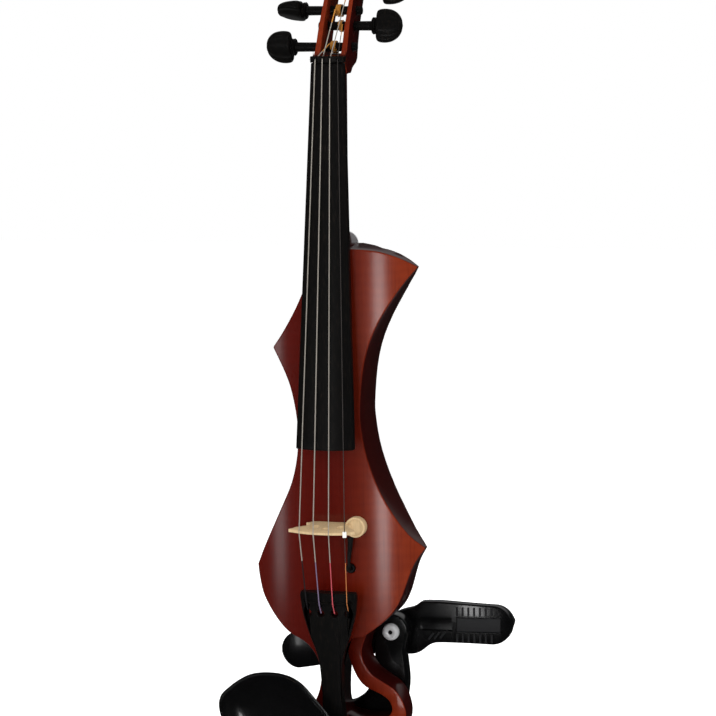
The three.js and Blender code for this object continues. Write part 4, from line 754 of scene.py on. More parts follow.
def board_tree():
    """A tapered board, crowned on one radius in front and hollowed under its free end"""
    tree, value = geometry_tree("Crowned Board", {
        "Nut Width": 0.024, "End Width": 0.0424, "Crown Radius": 0.042, "Edge Thickness": 0.005, "Nut Place": 0.496,
        "End Place": 0.226, "Nut Seat": -0.0132, "End Seat": -0.0367, "Hollow Start": 0.334, "Hollow Depth": 0.002})
    block_size = {"Size": (2, 1, 1), "Vertices X": 41, "Vertices Y": 2, "Vertices Z": 91}
    start = add(tree, "GeometryNodeMeshCube", block_size).outputs["Mesh"]
    axes = axes_of(tree, add(tree, "GeometryNodeInputPosition").outputs["Position"])

    def less(one, two):
        return calc(tree, "SUBTRACT", one, two)

    def times(one, two):
        return calc(tree, "MULTIPLY", one, two)

    def fall(radius, reach):
        """How deep a circle of that radius lies at that reach from its crest"""
        return less(radius, calc(tree, "SQRT", less(times(radius, radius), times(reach, reach))))

    along = less(0.5, axes["Z"])
    half = times(between(tree, along, value["Nut Width"], value["End Width"]), 0.5)
    across = times(axes["X"], half)
    height = between(tree, along, value["Nut Place"], value["End Place"])
    seat = between(tree, along, value["Nut Seat"], value["End Seat"])
    crest = less(less(seat, value["Edge Thickness"]), fall(value["Crown Radius"], half))
    front = calc(tree, "ADD", crest, fall(value["Crown Radius"], across))
    inner = less(value["Crown Radius"], value["Edge Thickness"])
    scooped = calc(tree, "MAXIMUM", less(value["Hollow Depth"], fall(inner, across)), 0.0)
    free = ranged(tree, less(value["Hollow Start"], height), 0.0, 0.003, smooth=True)
    depth = between(tree, calc(tree, "ADD", axes["Y"], 0.5), front, less(seat, times(scooped, free)))
    place = add(tree, "ShaderNodeCombineXYZ", {"X": across, "Y": depth, "Z": height}).outputs[0]
    moved = add(tree, "GeometryNodeSetPosition", {"Geometry": start, "Position": place})
    return finish_tree(tree, value, moved.outputs["Geometry"])


TREES = {}


def grown(name, source, kind, finish, **values):
    """A piece grown from a source mesh by one of the geometry trees, as a plain mesh"""
    if kind not in TREES:
        TREES[kind] = {"sweep": sweep_tree, "pattern": pattern_tree, "board": board_tree}[kind]()
    piece = bpy.data.objects.new(name, source)
    bpy.context.scene.collection.objects.link(piece)
    modifier = piece.modifiers.new("Grow", "NODES")
    modifier.node_group = TREES[kind]
    values = {**titled(values), "Finish": finish}
    for socket in TREES[kind].interface.items_tree:
        if socket.in_out == "INPUT" and socket.name in values:
            modifier[socket.identifier] = values[socket.name]
    bake(piece)
    if not piece.data.polygons:
        raise RuntimeError(f"{name}: the geometry tree made nothing")
    return piece


def dotted(name, points, edges, label, kind, field, values):
    """A mesh of bare points or edges that carries one named value at each point"""
    mesh = bpy.data.meshes.new(name)
    mesh.from_pydata([tuple(p) for p in points], edges, [])
    mesh.attributes.new(label, kind, "POINT").data.foreach_set(field, values)
    return mesh


def swept(name, points, radius, finish, sides=12, girths=None):
    """A cord, string or winding along a path, by Geometry Nodes"""
    edges = [(i, i + 1) for i in range(len(points) - 1)]
    path = dotted(name, points, edges, "girth", "FLOAT", "value", girths or [1.0] * len(points))
    return resmoothed(grown(name, path, "sweep", finish, radius=radius * MM, sides=sides), 50)


def patterned(name, form, places, turns, finish):
    """Copies of a small form on the places, by Geometry Nodes"""
    flat = [turn for row in turns for turn in row]
    points = dotted(name, places, [], "turn", "FLOAT_VECTOR", "vector", flat)
    piece = grown(name, points, "pattern", finish, form=form)
    mesh = form.data
    bpy.data.objects.remove(form)
    drop_mesh(mesh)
    return piece


def mark_painted_light(piece):
    """Marks how far each corner looks to the front, for painted light and shade: front-facing corners take the lit
    stain, the rest stay dark, and the pegbox's inner cheeks are lifted halfway as painted light
    """
    mesh = piece.data
    mask = mesh.attributes.new("front", "FLOAT", "CORNER")
    values = [min(max((-corner.vector.y - 0.3) / 0.4, 0.0), 1.0) for corner in mesh.corner_normals]
    for face in mesh.polygons:
        # Painted light: the inner cheeks of the pegbox are lifted halfway towards the front stain
        if face.center.z > 0.5 and face.normal.x * face.center.x < -0.003:
            for loop in face.loop_indices:
                values[loop] = max(values[loop], 0.55)
    mask.data.foreach_set("value", values)
    return piece


# Stage

LAMPS = (
    ("Front Strip", (0.0, -1.97, -0.06), (0.13, 0.5), 1.9),
    ("Left Strip", (-1.2, -1.6, -0.05), (0.13, 0.5), 0.85),
    ("Front Wash", (-0.5, -1.9, 0.7), (1.2, 1.4), 19),
    ("Right Wash", (1.9, -0.9, 0.9), (1.1, 1.4), 15),
    ("Top Wash", (0.0, -0.2, 2.1), (1.4, 1.2), 14),
    ("Back Wash", (-0.6, 2.0, 1.1), (0.9, 1.4), 18),
)


def placed(scene, name, data, place, turn):
    """A camera or lamp set in the scene"""
    holder = bpy.data.objects.new(name, data)
    scene.collection.objects.link(holder)
    holder.location = place
    holder.rotation_euler = turn.to_euler()
    return holder


def seen_rays(tree):
    """A mask of the rays that show things straight or through glass, and one of reflected rays"""
    rays = add(tree, "ShaderNodeLightPath").outputs
    return calc(tree, "MAXIMUM", rays["Is Camera Ray"], rays["Is Transmission Ray"]), rays["Is Glossy Ray"]


class VIOLIN_OT_stage(bpy.types.Operator):
    """Makes the camera, the lamps, the white surroundings and the floor"""

    bl_idname = "violin.stage"
    bl_label = "Stage"

    def execute(self, context):
        scene = context.scene
        self.make_camera(scene, scene.violin_stage)
        self.make_surroundings(scene)
        self.make_floor(scene.violin_stage)
        for name, place, size, power in LAMPS:
            lamp = bpy.data.lights.new(name, "AREA")
            lamp.shape, lamp.size, lamp.size_y, lamp.energy = "RECTANGLE", *size, power
            turn = (Vector((0, 0, 0.3)) - Vector(place)).to_track_quat("-Z", "Y")
            placed(scene, name, lamp, place, turn).visible_glossy = "Strip" in name
        scene.view_settings.view_transform = "Standard"
        return {"FINISHED"}

    @staticmethod
    def make_camera(scene, stage):
        camera = bpy.data.cameras.new("Photo View")
        camera.sensor_width, camera.lens = 36, stage.lens
        camera.clip_start, camera.clip_end = 0.05, 50
        yaw, pitch, roll = stage.yaw, stage.pitch, stage.roll
        ahead = Vector((-math.sin(yaw) * math.cos(pitch), math.cos(yaw) * math.cos(pitch), -math.sin(pitch)))
        level = Vector((math.cos(yaw), math.sin(yaw), 0))
        up = level.cross(ahead)
        axes = (level * math.cos(roll) + up * math.sin(roll), up * math.cos(roll) - level * math.sin(roll), -ahead)
        scene.camera = placed(scene, "Photo View", camera, stage.camera_place, Matrix(axes).transposed())

    @staticmethod
    def make_surroundings(scene):
        """White where they are seen, half lit for the rest, and in reflections dark except behind the violin"""
        scene.world = bpy.data.worlds.new("White Studio")
        scene.world.use_nodes = True
        tree = scene.world.node_tree
        seen, glossy = seen_rays(tree)
        axes = axes_of(tree, add(tree, "ShaderNodeTexCoord").outputs["Generated"])
        behind = ranged(tree, axes["Y"], -0.2, 0.6, smooth=True)
        high = ranged(tree, axes["Z"], 0.1, 0.36, 0.01, 1.0, smooth=True)
        low = ranged(tree, axes["Z"], -0.55, -0.3, 0.6, 0.0, smooth=True)
        glow = calc(tree, "MULTIPLY", behind, calc(tree, "MAXIMUM", high, low))
        level = between(tree, glossy, 0.5, ranged(tree, glow, 0, 1, 0.004, 0.35))
        back = tree.nodes["Background"]
        feed(tree, (1, 1, 1), back.inputs["Color"])
        feed(tree, between(tree, seen, level, 1.0), back.inputs["Strength"])

    @staticmethod
    def make_floor(stage):
        bm = bmesh.new()
        bmesh.ops.create_grid(bm, x_segments=1, y_segments=1, size=stage.floor_size / 2)
        bmesh.ops.translate(bm, verts=bm.verts, vec=(0, 0, -stage.floor_drop))
        floor = object_from(bm, "Floor")
        material, tree, shader, _ = plain(
            "Pale Floor", (0.8, 0.8, 0.8), 0.95, Specular_IOR_Level=0.1, Emission_Color=(1, 1, 1))
        feed(tree, calc(tree, "MULTIPLY", seen_rays(tree)[0], 0.62), shader.inputs["Emission Strength"])
        floor.data.materials.append(material)
        floor.visible_glossy = False


# Body and neck: the plate's radius, the seam and the heel in metres, the disc and the volute in millimetres
PLATE_RADIUS = 0.265
SEAM = -0.011
BODY_CUTS = mm(52, 150, 306)
HEEL_END = 0.36
DISC_PROFILE = ((0, 0), (8.9, 0), (8.9, 1.7), (8.5, 2.3), (7.9, 2.5), (7.2, 2.4), (6.9, 2.1), (0, 1.9))
HUB = mm(0, 38, 583)
VOLUTE_RADIUS, EYE_RADIUS, VOLUTE_TURNS = 17.7, 4.4, 2.3
EYE_PROFILE = ((0, 6.4), (EYE_RADIUS, 6.4), (EYE_RADIUS, 15.2), (4.0, 15.8), (3.2, 16), (0, 16))


class VIOLIN_OT_body(bpy.types.Operator):
    """Rounds and varnishes the top plate and the frame, and sets the metal disc at the heel"""

    bl_idname = "violin.body"
    bl_label = "Body"

    def execute(self, context):
        def on_seam(one, two):
            return max(abs(one.y - SEAM), abs(two.y - SEAM)) < 0.0003

        width = context.scene.violin_wood.edge_round
        for node in ("top_plate", "body_frame"):
            piece = mark_painted_light(rounded_copy(node, width, degrees=28, spare=on_seam, cuts=BODY_CUTS))
            if node == "top_plate":
                self.crown(piece)
            settle(piece, node)
        settle(lathe("heel_disc_look", DISC_PROFILE, seat_of("heel_disc"), sides=64, degrees=25), "heel_disc")
        return {"FINISHED"}

    @staticmethod
    def crown(piece):
        """Gives the front of the plate the normals of its true crown, so that it shades without facets"""
        mesh = piece.data
        normals = [tuple(corner.vector) for corner in mesh.corner_normals]
        for face in mesh.polygons:
            if face.normal.y < -0.96 and abs(face.normal.z) < 0.02:
                for loop in face.loop_indices:
                    slope = mesh.vertices[mesh.loops[loop].vertex_index].co.x / PLATE_RADIUS
                    normals[loop] = tuple(Vector((slope, -1, 0)).normalized())
        mesh.normals_split_custom_set(normals)


class VIOLIN_OT_neck(bpy.types.Operator):
    """Carves the neck, the pegbox and the scroll with its turns on both sides"""

    bl_idname = "violin.neck"
    bl_label = "Neck and scroll"

    def execute(self, context):
        neck = rounded_copy("neck", 0.0006, 2, spare=lambda one, two: min(one.z, two.z) < HEEL_END)
        for side in (-1, 1):
            carved(neck, rod(18.7, HUB, 6.9 * side, 17 * side, "X", 72), self_crossing=True)
        bm = bmesh.new()
        bm.from_mesh(neck.data)
        for side in (-1, 1):
            self.volute(bm, side)
        sharpen(bm, 32)
        bm.to_mesh(neck.data)
        bm.free()
        settle(mark_painted_light(neck), "neck")
        return {"FINISHED"}

    @staticmethod
    def volute(bm, side):
        """A step that winds in towards the eye and stands out further on each turn"""
        steps = 56
        spare = bmesh.new()
        shrink = math.log(VOLUTE_RADIUS / EYE_RADIUS) / VOLUTE_TURNS
        rings = []
        for i in range(int(VOLUTE_TURNS * steps) + 1):
            turn = i / steps
            outer = VOLUTE_RADIUS * math.exp(-shrink * turn)
            inner = max(VOLUTE_RADIUS * math.exp(-shrink * (turn + 1)), 2.0) - 0.4
            stand = 7.1 + 8.2 * (turn / VOLUTE_TURNS) ** 0.85
            angle = 2 * math.pi * turn - 0.5
            section = (
                (inner, 6.4), (outer, 6.4), (outer, stand - 0.8), (outer - 0.3, stand - 0.2), (outer - 0.9, stand),
                (outer - 1.5, stand - 0.15), ((outer + inner) / 2, stand - 0.7), (inner, stand - 0.5))
            rings.append([Vector(HUB) + Vector(mm(side * x, r * math.cos(angle), r * math.sin(angle)))
                          for r, x in section])
        skin(spare, rings)
        turned(spare, [(radius, side * x) for radius, x in EYE_PROFILE], HUB, "X", 48)
        bmesh.ops.recalc_face_normals(spare, faces=spare.faces)
        part = bpy.data.meshes.new("volute")
        spare.to_mesh(part)
        spare.free()
        bm.from_mesh(part)
        drop_mesh(part)


class VIOLIN_OT_fingerboard(bpy.types.Operator):
    """Grows the crowned fingerboard, and rounds the nut"""

    bl_idname = "violin.fingerboard"
    bl_label = "Fingerboard and nut"

    def execute(self, context):
        sizes = {key: getattr(context.scene.violin_board, key) for key in BoardSettings.__annotations__}
        low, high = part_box("fingerboard")
        board = grown(
            "fingerboard_look", bpy.data.meshes.new("fingerboard_look"), "board", finish_of("ebony"),
            nut_place=high[2], end_place=low[2], nut_seat=high[1], end_seat=-0.03666, **sizes)
        settle(resmoothed(bevelled(board, 0.0007, 3, 50), 40), "fingerboard")
        refined("nut", 0.0004)
        return {"FINISHED"}


# Bridge and lead, in millimetres
BRIDGE_HEIGHT, PLATE_CREST, BRIDGE_RISE, TOP_RADIUS = 167.99, -22, 33, 42
# One side of the bridge from its foot to its tip: place across and rise over the plate
BRIDGE_SIDE = (
    (-11.6, -0.3), (-12.4, -0.35), (-18.8, -0.75), (-20.6, -0.1), (-20.2, 1.5), (-17.4, 4.0), (-15.4, 8),
    (-15.9, 11.6), (-19.2, 14.8), (-22.8, 18.0), (-24.3, 21.2), (-26.4, 25.0))
# The two kidneys and the heart: place across, rise, half width and half height
BRIDGE_OPENINGS = ((-9.6, 15.6, 3.0, 4.3), (9.0, 15.6, 3.0, 4.3), (-0.3, 20.6, 2.6, 3.1))
LEAD_CURVE = (
    (12.7, -25, 160.39), (12.7, -25, 157.5), (12.3, -24.6, 153.5), (11.6, -23.9, 149.6), (11.4, -24.9, 144.6),
    (11.5, -25.9, 140.6), (11.5, -25.6, 138.5), (11.5, -24.3, 137.3), (11.5, -22.6, 137.0))
LEAD_END = ((11.5, -12, 137.01), (11.5, -1.8, 137.01))


def oval(count, wide=1.0, high=1.0):
    """Points round an oval about its middle"""
    angles = [2 * math.pi * i / count for i in range(count)]
    return [(wide * math.cos(a), high * math.sin(a)) for a in angles]


class VIOLIN_OT_bridge(bpy.types.Operator):
    """Shapes the bridge, its round sensor with the lead, and the white tube on the E string"""

    bl_idname = "violin.bridge"
    bl_label = "Bridge and sensor"

    def execute(self, context):
        self.bridge()
        refined("bridge_sensor", 0.0004, 3, 35, 40)
        lead = through([mm(*p) for p in LEAD_CURVE], 8) + [Vector(mm(*p)) for p in LEAD_END]
        girths = [2.0 - 1.0 * min(i / (len(lead) * 0.55), 1) for i in range(len(lead))]
        settle(swept("pickup_lead_look", lead, 1.15, finish_of("lead"), 16, girths), "pickup_lead")
        refined("lead_grommet", 0.0003, 3)
        refined("string_sleeve", 0.00012)
        return {"FINISHED"}

    @staticmethod
    def bridge():
        """Feet on the crowned plate, waist, wings and a crowned top, cut through by two kidneys and a heart"""
        left = [(p.x, p.y) for p in through([(x, y, 0) for x, y in BRIDGE_SIDE], 5)]
        right = [(-x * 0.855, y) for x, y in reversed(left)]
        top = [(x, BRIDGE_RISE - (TOP_RADIUS - math.sqrt(TOP_RADIUS ** 2 - x ** 2)))
               for x in (-23 + 42.5 * i / 40 for i in range(41))]
        arch = [(11.2 * math.cos(a), 0.6 + 7.4 * math.sin(a)) for a in (math.pi * (i + 1) / 22 for i in range(21))]

        def half_thickness(x, y):
            """Thinner towards the top, and towards the tips of the feet"""
            rise = min(max(y, 0), BRIDGE_RISE)
            return (2.3 - 1.5 * rise / BRIDGE_RISE) * (1 - 0.08 * max(abs(x) - 14, 0) * max(1 - max(y, 0) / 8, 0))

        bm = bmesh.new()
        skin(bm, [[mm(x, PLATE_CREST - y, BRIDGE_HEIGHT + side * half_thickness(x, y))
                   for x, y in left + top + right + arch] for side in (-1, 1)])
        piece = bevelled(closed_object(bm, "bridge_look", 30), 0.00035, 3, 50)
        cutters = []
        for x, y, wide, high in BRIDGE_OPENINGS:
            bm = bmesh.new()
            loop = [(x + u, PLATE_CREST - (y + v)) for u, v in oval(28, wide, high)]
            skin(bm, [[mm(u, v, along) for u, v in loop] for along in (163, 173)])
            cutters.append(closed_object(bm, "cutter"))
        settle(resmoothed(carved(piece, *cutters), 35), "bridge")


BUTTON_PROFILE = (
    (0, 0), (5.4, 0), (6.6, 0.5), (7.3, 1.6), (7.4, 3.2), (6.9, 4.4), (5.4, 5.5), (4.85, 6.3), (4.8, 8.2), (6.2, 9.0),
    (7.2, 9.3), (7.3, 9.7), (3.9, 9.7), (3.9, 21.5), (3.5, 22), (0, 22))
# One leg of the tailgut, from the tailpiece over the saddle to the button
GUT_LEG = (
    (4.2, -29.88, 25.05), (4.2, -28.93, 17.3), (4.2, -29.4, 16.4), (4.2, -29.4, 13.5), (4.2, -29.4, 10.2),
    (4.2, -28.9, 9.0), (4.25, -27.3, 8.3), (4.6, -20, 7.85), (5.6, -8, 7.3), (6.15, -1, 7.0))


class VIOLIN_OT_tailpiece(bpy.types.Operator):
    """Rounds the tailpiece and the saddle, turns the end button, and loops the tailgut round it"""

    bl_idname = "violin.tailpiece"
    bl_label = "Tailpiece and tailgut"

    def execute(self, context):
        refined("tailpiece", 0.0007, 3, 32, 38)
        refined("saddle", 0.0012, 4)
        settle(lathe("end_button_look", BUTTON_PROFILE, axis="Z", sides=64), "end_button")
        leg = through([mm(*p) for p in GUT_LEG], 6)
        turn = [Vector(mm(6.2 * math.cos(a), 6.2 * math.sin(a), 7)) for a in (math.pi * i / 24 for i in range(25))]
        other = [Vector((-p.x, p.y, p.z)) for p in reversed(leg)]
        settle(swept("tailgut_look", [*leg, *turn, *other], 1.1, finish_of("gut"), 14), "tailgut")
        return {"FINISHED"}


# Each string: its radius, and its corners at the keyhole, the fret, the bridge, the nut and the peg
STRINGS = {
    "g": (0.42, (-15, -39.59, 108.28), (-15, -44.14, 115.79), (-17, -51.41, 167.99), (-8.2, -19.95, 498.5),
          (-4.06, 1.44, 508.42)),
    "d": (0.42, (-5, -41.36, 108.06), (-5, -45.91, 115.58), (-5.67, -54.62, 167.99), (-2.73, -20.67, 498.5),
          (-3.46, 14.91, 531.87)),
    "a": (0.38, (5, -41.36, 108.06), (5, -45.87, 115.58), (5.67, -54.62, 167.99), (2.73, -20.67, 498.5),
          (3.65, 23.98, 545.63)),
    "e": (0.28, (15, -39.59, 108.28), (15, -44, 115.8), (17, -53.19, 167.99), (8.2, -19.95, 498.5),
          (3.72, 8.41, 521.79)),
}


class VIOLIN_OT_strings(bpy.types.Operator):
    """Stretches the four strings, with their silk at both ends"""

    bl_idname = "violin.strings"
    bl_label = "Strings"

    def execute(self, context):
        for name, (radius, *corners) in STRINGS.items():
            node = f"string_{name}"
            run = bent([mm(*p) for p in corners], 1.6 * MM)
            settle(swept(f"{node}_look", run, radius, finish_of(node)), node)
        return {"FINISHED"}


NUT_HEIGHT, PEG_RADIUS = 496, 3.4
# Each peg: its side, how far up from the nut, how far back, how far its shoulder stands out, its turn in degrees,
# and its winding's start and width
PEGS = {
    "g": (-1, 10, 6, 18, 20, -3.51, 4.02),
    "d": (-1, 35, 20, 13.7, 62, -3.51, 4.02),
    "a": (1, 49, 29, 14, -40, -0.09, 3.78),
    "e": (1, 24.4, 13, 12.5, -12, 0.21, 3.18),
}
SHAFT_PROFILE = ((0, -15), (2.1, -15), (2.7, -14.8), (3.0, -14.3))
# The collar and the pip, with reaches from the shoulder
COLLAR_PROFILE = (
    (3.38, 0), (4.4, 0.05), (5.7, 0.3), (6.15, 0.8), (6.0, 1.2), (5.2, 1.45), (5.15, 1.6), (5.8, 1.85), (6.0, 2.3),
    (5.6, 2.8), (4.6, 3.1), (4.0, 4.5), (0, 5))
PIP_PROFILE = ((0, 20.8), (1.2, 20.9), (1.5, 21.4), (1.2, 21.8), (0, 22.0))
# The head: reach, half width and half thickness
HEAD_STATIONS = (
    (0, 4.2, 3.9), (0.2, 8.2, 4.8), (0.6, 10.2, 5.6), (1.5, 11.2, 6.1), (3.4, 11.8, 6.0), (7, 12.0, 5.3),
    (11, 11.3, 4.6), (14.4, 9.5, 4.0), (16.8, 7.0, 3.4), (18.1, 4.4, 2.7), (18.7, 1.6, 1.4))


class VIOLIN_OT_pegs(bpy.types.Operator):
    """Turns and shapes the four pegs, and winds the strings round them"""

    bl_idname = "violin.pegs"
    bl_label = "Pegs and windings"

    def execute(self, context):
        steps = context.scene.violin_strings.winding_turns * 40
        for name, (side, up, back, reach, turn, start, width) in PEGS.items():
            seat = Matrix.Translation(mm(0, back, NUT_HEIGHT + up)) @ Matrix.Rotation(math.radians(turn), 4, "X")
            self.peg(name, seat @ Matrix.Rotation(math.pi if side < 0 else 0, 4, "Y"), 12 + reach)
            node, radius = f"winding_{name}", STRINGS[name][0]
            ring = PEG_RADIUS + 0.3 + radius
            points = []
            for i in range(steps + 1):
                angle = 2 * math.pi * i / 40
                points.append(seat @ Vector(mm(
                    start + width * i / steps, -ring * math.cos(angle), ring * math.sin(angle))))
            settle(swept(f"{node}_look", points, radius, finish_of("silk_g"), 10), node)
        return {"FINISHED"}

    @staticmethod
    def peg(name, seat, shoulder):
        """A tapered shaft, a double collar, a head hollowed on both cheeks, and a pip"""
        def from_shoulder(profile):
            return [(radius, shoulder + reach) for radius, reach in profile]

        bm = bmesh.new()
        turned(bm, [*SHAFT_PROFILE, *from_shoulder(COLLAR_PROFILE)], axis="X", sides=40)
        rings = []
        for row in through(HEAD_STATIONS, 4):
            ring = []
            for rise, flat in oval(48):
                cheek = 1 - 0.3 * math.exp(-((abs(rise) - 0.62) / 0.2) ** 2)
                ring.append(mm(shoulder + 3 + row.x, math.copysign(abs(flat) ** 0.85, flat) * row.z * cheek,
                               math.copysign(abs(rise) ** 0.9, rise) * row.y))
            rings.append(ring)
        skin(bm, rings)
        turned(bm, from_shoulder(PIP_PROFILE), axis="X", sides=28)
        bmesh.ops.transform(bm, matrix=seat, verts=bm.verts)
        settle(closed_object(bm, f"peg_{name}_look", 40), f"peg_{name}")


# The chinrest's outline, as shares of its width and height
CHIN_SHARES = (
    (0.06, 0.698), (0.136, 0.805), (0.219, 0.891), (0.302, 0.95), (0.39, 0.978), (0.482, 0.984), (0.563, 0.973),
    (0.652, 0.935), (0.739, 0.853), (0.842, 0.693), (0.921, 0.565), (0.985, 0.42), (1, 0.28), (0.94, 0.13),
    (0.76, 0.03), (0.52, 0), (0.3, 0.07), (0.15, 0.21), (0.075, 0.38), (0.04, 0.56))
# The cup's section from under its middle, round the rim and into the dish: share of the outline, share of the thickness
CUP_SECTION = (
    (0.22, 0), (0.5, 0.0), (0.74, 0.05), (0.86, 0.16), (0.94, 0.34), (0.985, 0.56), (1, 0.72), (0.996, 0.81),
    (0.985, 0.83), (0.97, 0.84), (0.963, 0.87), (0.952, 0.96), (0.944, 1), (0.932, 0.99), (0.92, 0.94), (0.88, 0.84),
    (0.8, 0.7), (0.68, 0.5), (0.5, 0.34), (0.3, 0.26), (0.12, 0.235))
CUP_UNDERSIDE, CUP_THICKNESS, BAR_TOP = -48, 7, -48.4


class VIOLIN_OT_chinrest(bpy.types.Operator):
    """Dishes the chinrest's cup, and finishes its bar, feet and clamp"""

    bl_idname = "violin.chinrest"
    bl_label = "Chinrest and clamp"

    def execute(self, context):
        self.cup()
        self.bar()
        for part, edge in (("rod_front", 0.0002), ("barrel", 0.0003)):
            for side in ("bass", "treble"):
                refined(f"clamp_{part}_{side}", edge)
        refined("clamp_foot", 0.0014, 4)
        return {"FINISHED"}

    @staticmethod
    def cup():
        def place(across, along):
            return Vector(mm(-83 + 92 * across, 0, 2 + 65 * along))

        rim = evened(round_through([place(*shares) for shares in CHIN_SHARES], 10), 160)
        middle = place(0.46, 0.48)
        rings = []
        for row in through([(*pair, 0) for pair in CUP_SECTION], 3):
            depth = (CUP_UNDERSIDE - CUP_THICKNESS * row.y) * MM
            rings.append([(q.x, depth, q.z) for q in (middle.lerp(p, row.x) for p in rim)])
        bm = bmesh.new()
        skin(bm, rings)
        settle(closed_object(bm, "chin_cup", 40), "chinrest")

    @staticmethod
    def bar():
        """The CAD's bar and feet, cut off under the cup"""
        bm = cad_form("chinrest")
        bmesh.ops.bisect_plane(
            bm, geom=[*bm.verts, *bm.edges, *bm.faces], plane_co=mm(0, BAR_TOP, 0), plane_no=(0, -1, 0),
            clear_outer=True)
        bmesh.ops.holes_fill(bm, edges=[edge for edge in bm.edges if edge.is_boundary], sides=0)
        bmesh.ops.delete(bm, geom=[vert for vert in bm.verts if not vert.link_faces], context="VERTS")
        flattened(bm)
        settle(bevelled(closed_object(bm, "chin_bar", 30), 0.0006, 3), "chinrest")


# The shoulder rest along its length: place across, middle line and half width
REST_ROWS = (
    (-51.1, 57.8, 13.6), (-30, 60, 11), (-5, 66.5, 9), (15, 73, 13), (30, 77, 16.3), (40, 78.8, 17.6), (46, 82.2, 18.3),
    (52.5, 84.9, 16), (60, 85.7, 15.3), (80, 85.1, 14.7), (97.7, 84.31, 14.5))
REST_FRONT, REST_THICKNESS, REST_BEND = 40.3, 7, 9
PAD_FRONT, PAD_BACK = 7.3, 18
SLIDE_HEIGHT, SLIDE_START, SLIDE_STOP = 84.31, 72.4, 103.9
BOLT_X, BOLT_Z, BOLT_HEAD = 29, 82.4104, 19
BOSS_RADIUS, BRACKET_REACH, BRACKET_DEPTHS = 12.8, 62.71, (19.3, 31.3)
# Both sides of the bracket below its boss, as shares of the boss's radius and of the reach
BRACKET_INNER = (
    (-3.2, -0.982), (-3.03, -0.89), (-2.31, -0.853), (-1.5, -0.716), (-1.13, -0.514), (-1.01, -0.275), (-1, 0))
BRACKET_OUTER = (
    (1, 0), (0.79, -0.15), (0.73, -0.25), (0.805, -0.389), (0.875, -0.579), (0.79, -0.75), (0.6, -0.9), (-0.15, -1))
BOLT_PROFILE = (
    (0, 2.7), (3.0, 2.7), (3.0, 0), (6.2, 0), (6.2, -1.6), (6.0, -2.4), (5.5, -3.0), (4.8, -3.3), (3.8, -3.4),
    (2.6, -3.38), (1.9, -3.2), (1.6, -2.9), (1.5, -2.3), (1.5, -1.2), (0, -1.0))
# A black lining for the bolt's hex socket: painted shade for the dark of the hole
SOCKET_SHADE_PROFILE = ((0, -1.3), (1.42, -1.4), (1.42, -2.7), (1.52, -2.7), (1.52, -1.15), (0, -1.15))


def bow(x):
    """How far back the rest's front lies there"""
    return REST_FRONT + REST_BEND * ((x - BOLT_X) / REST_ROWS[-1][0]) ** 2


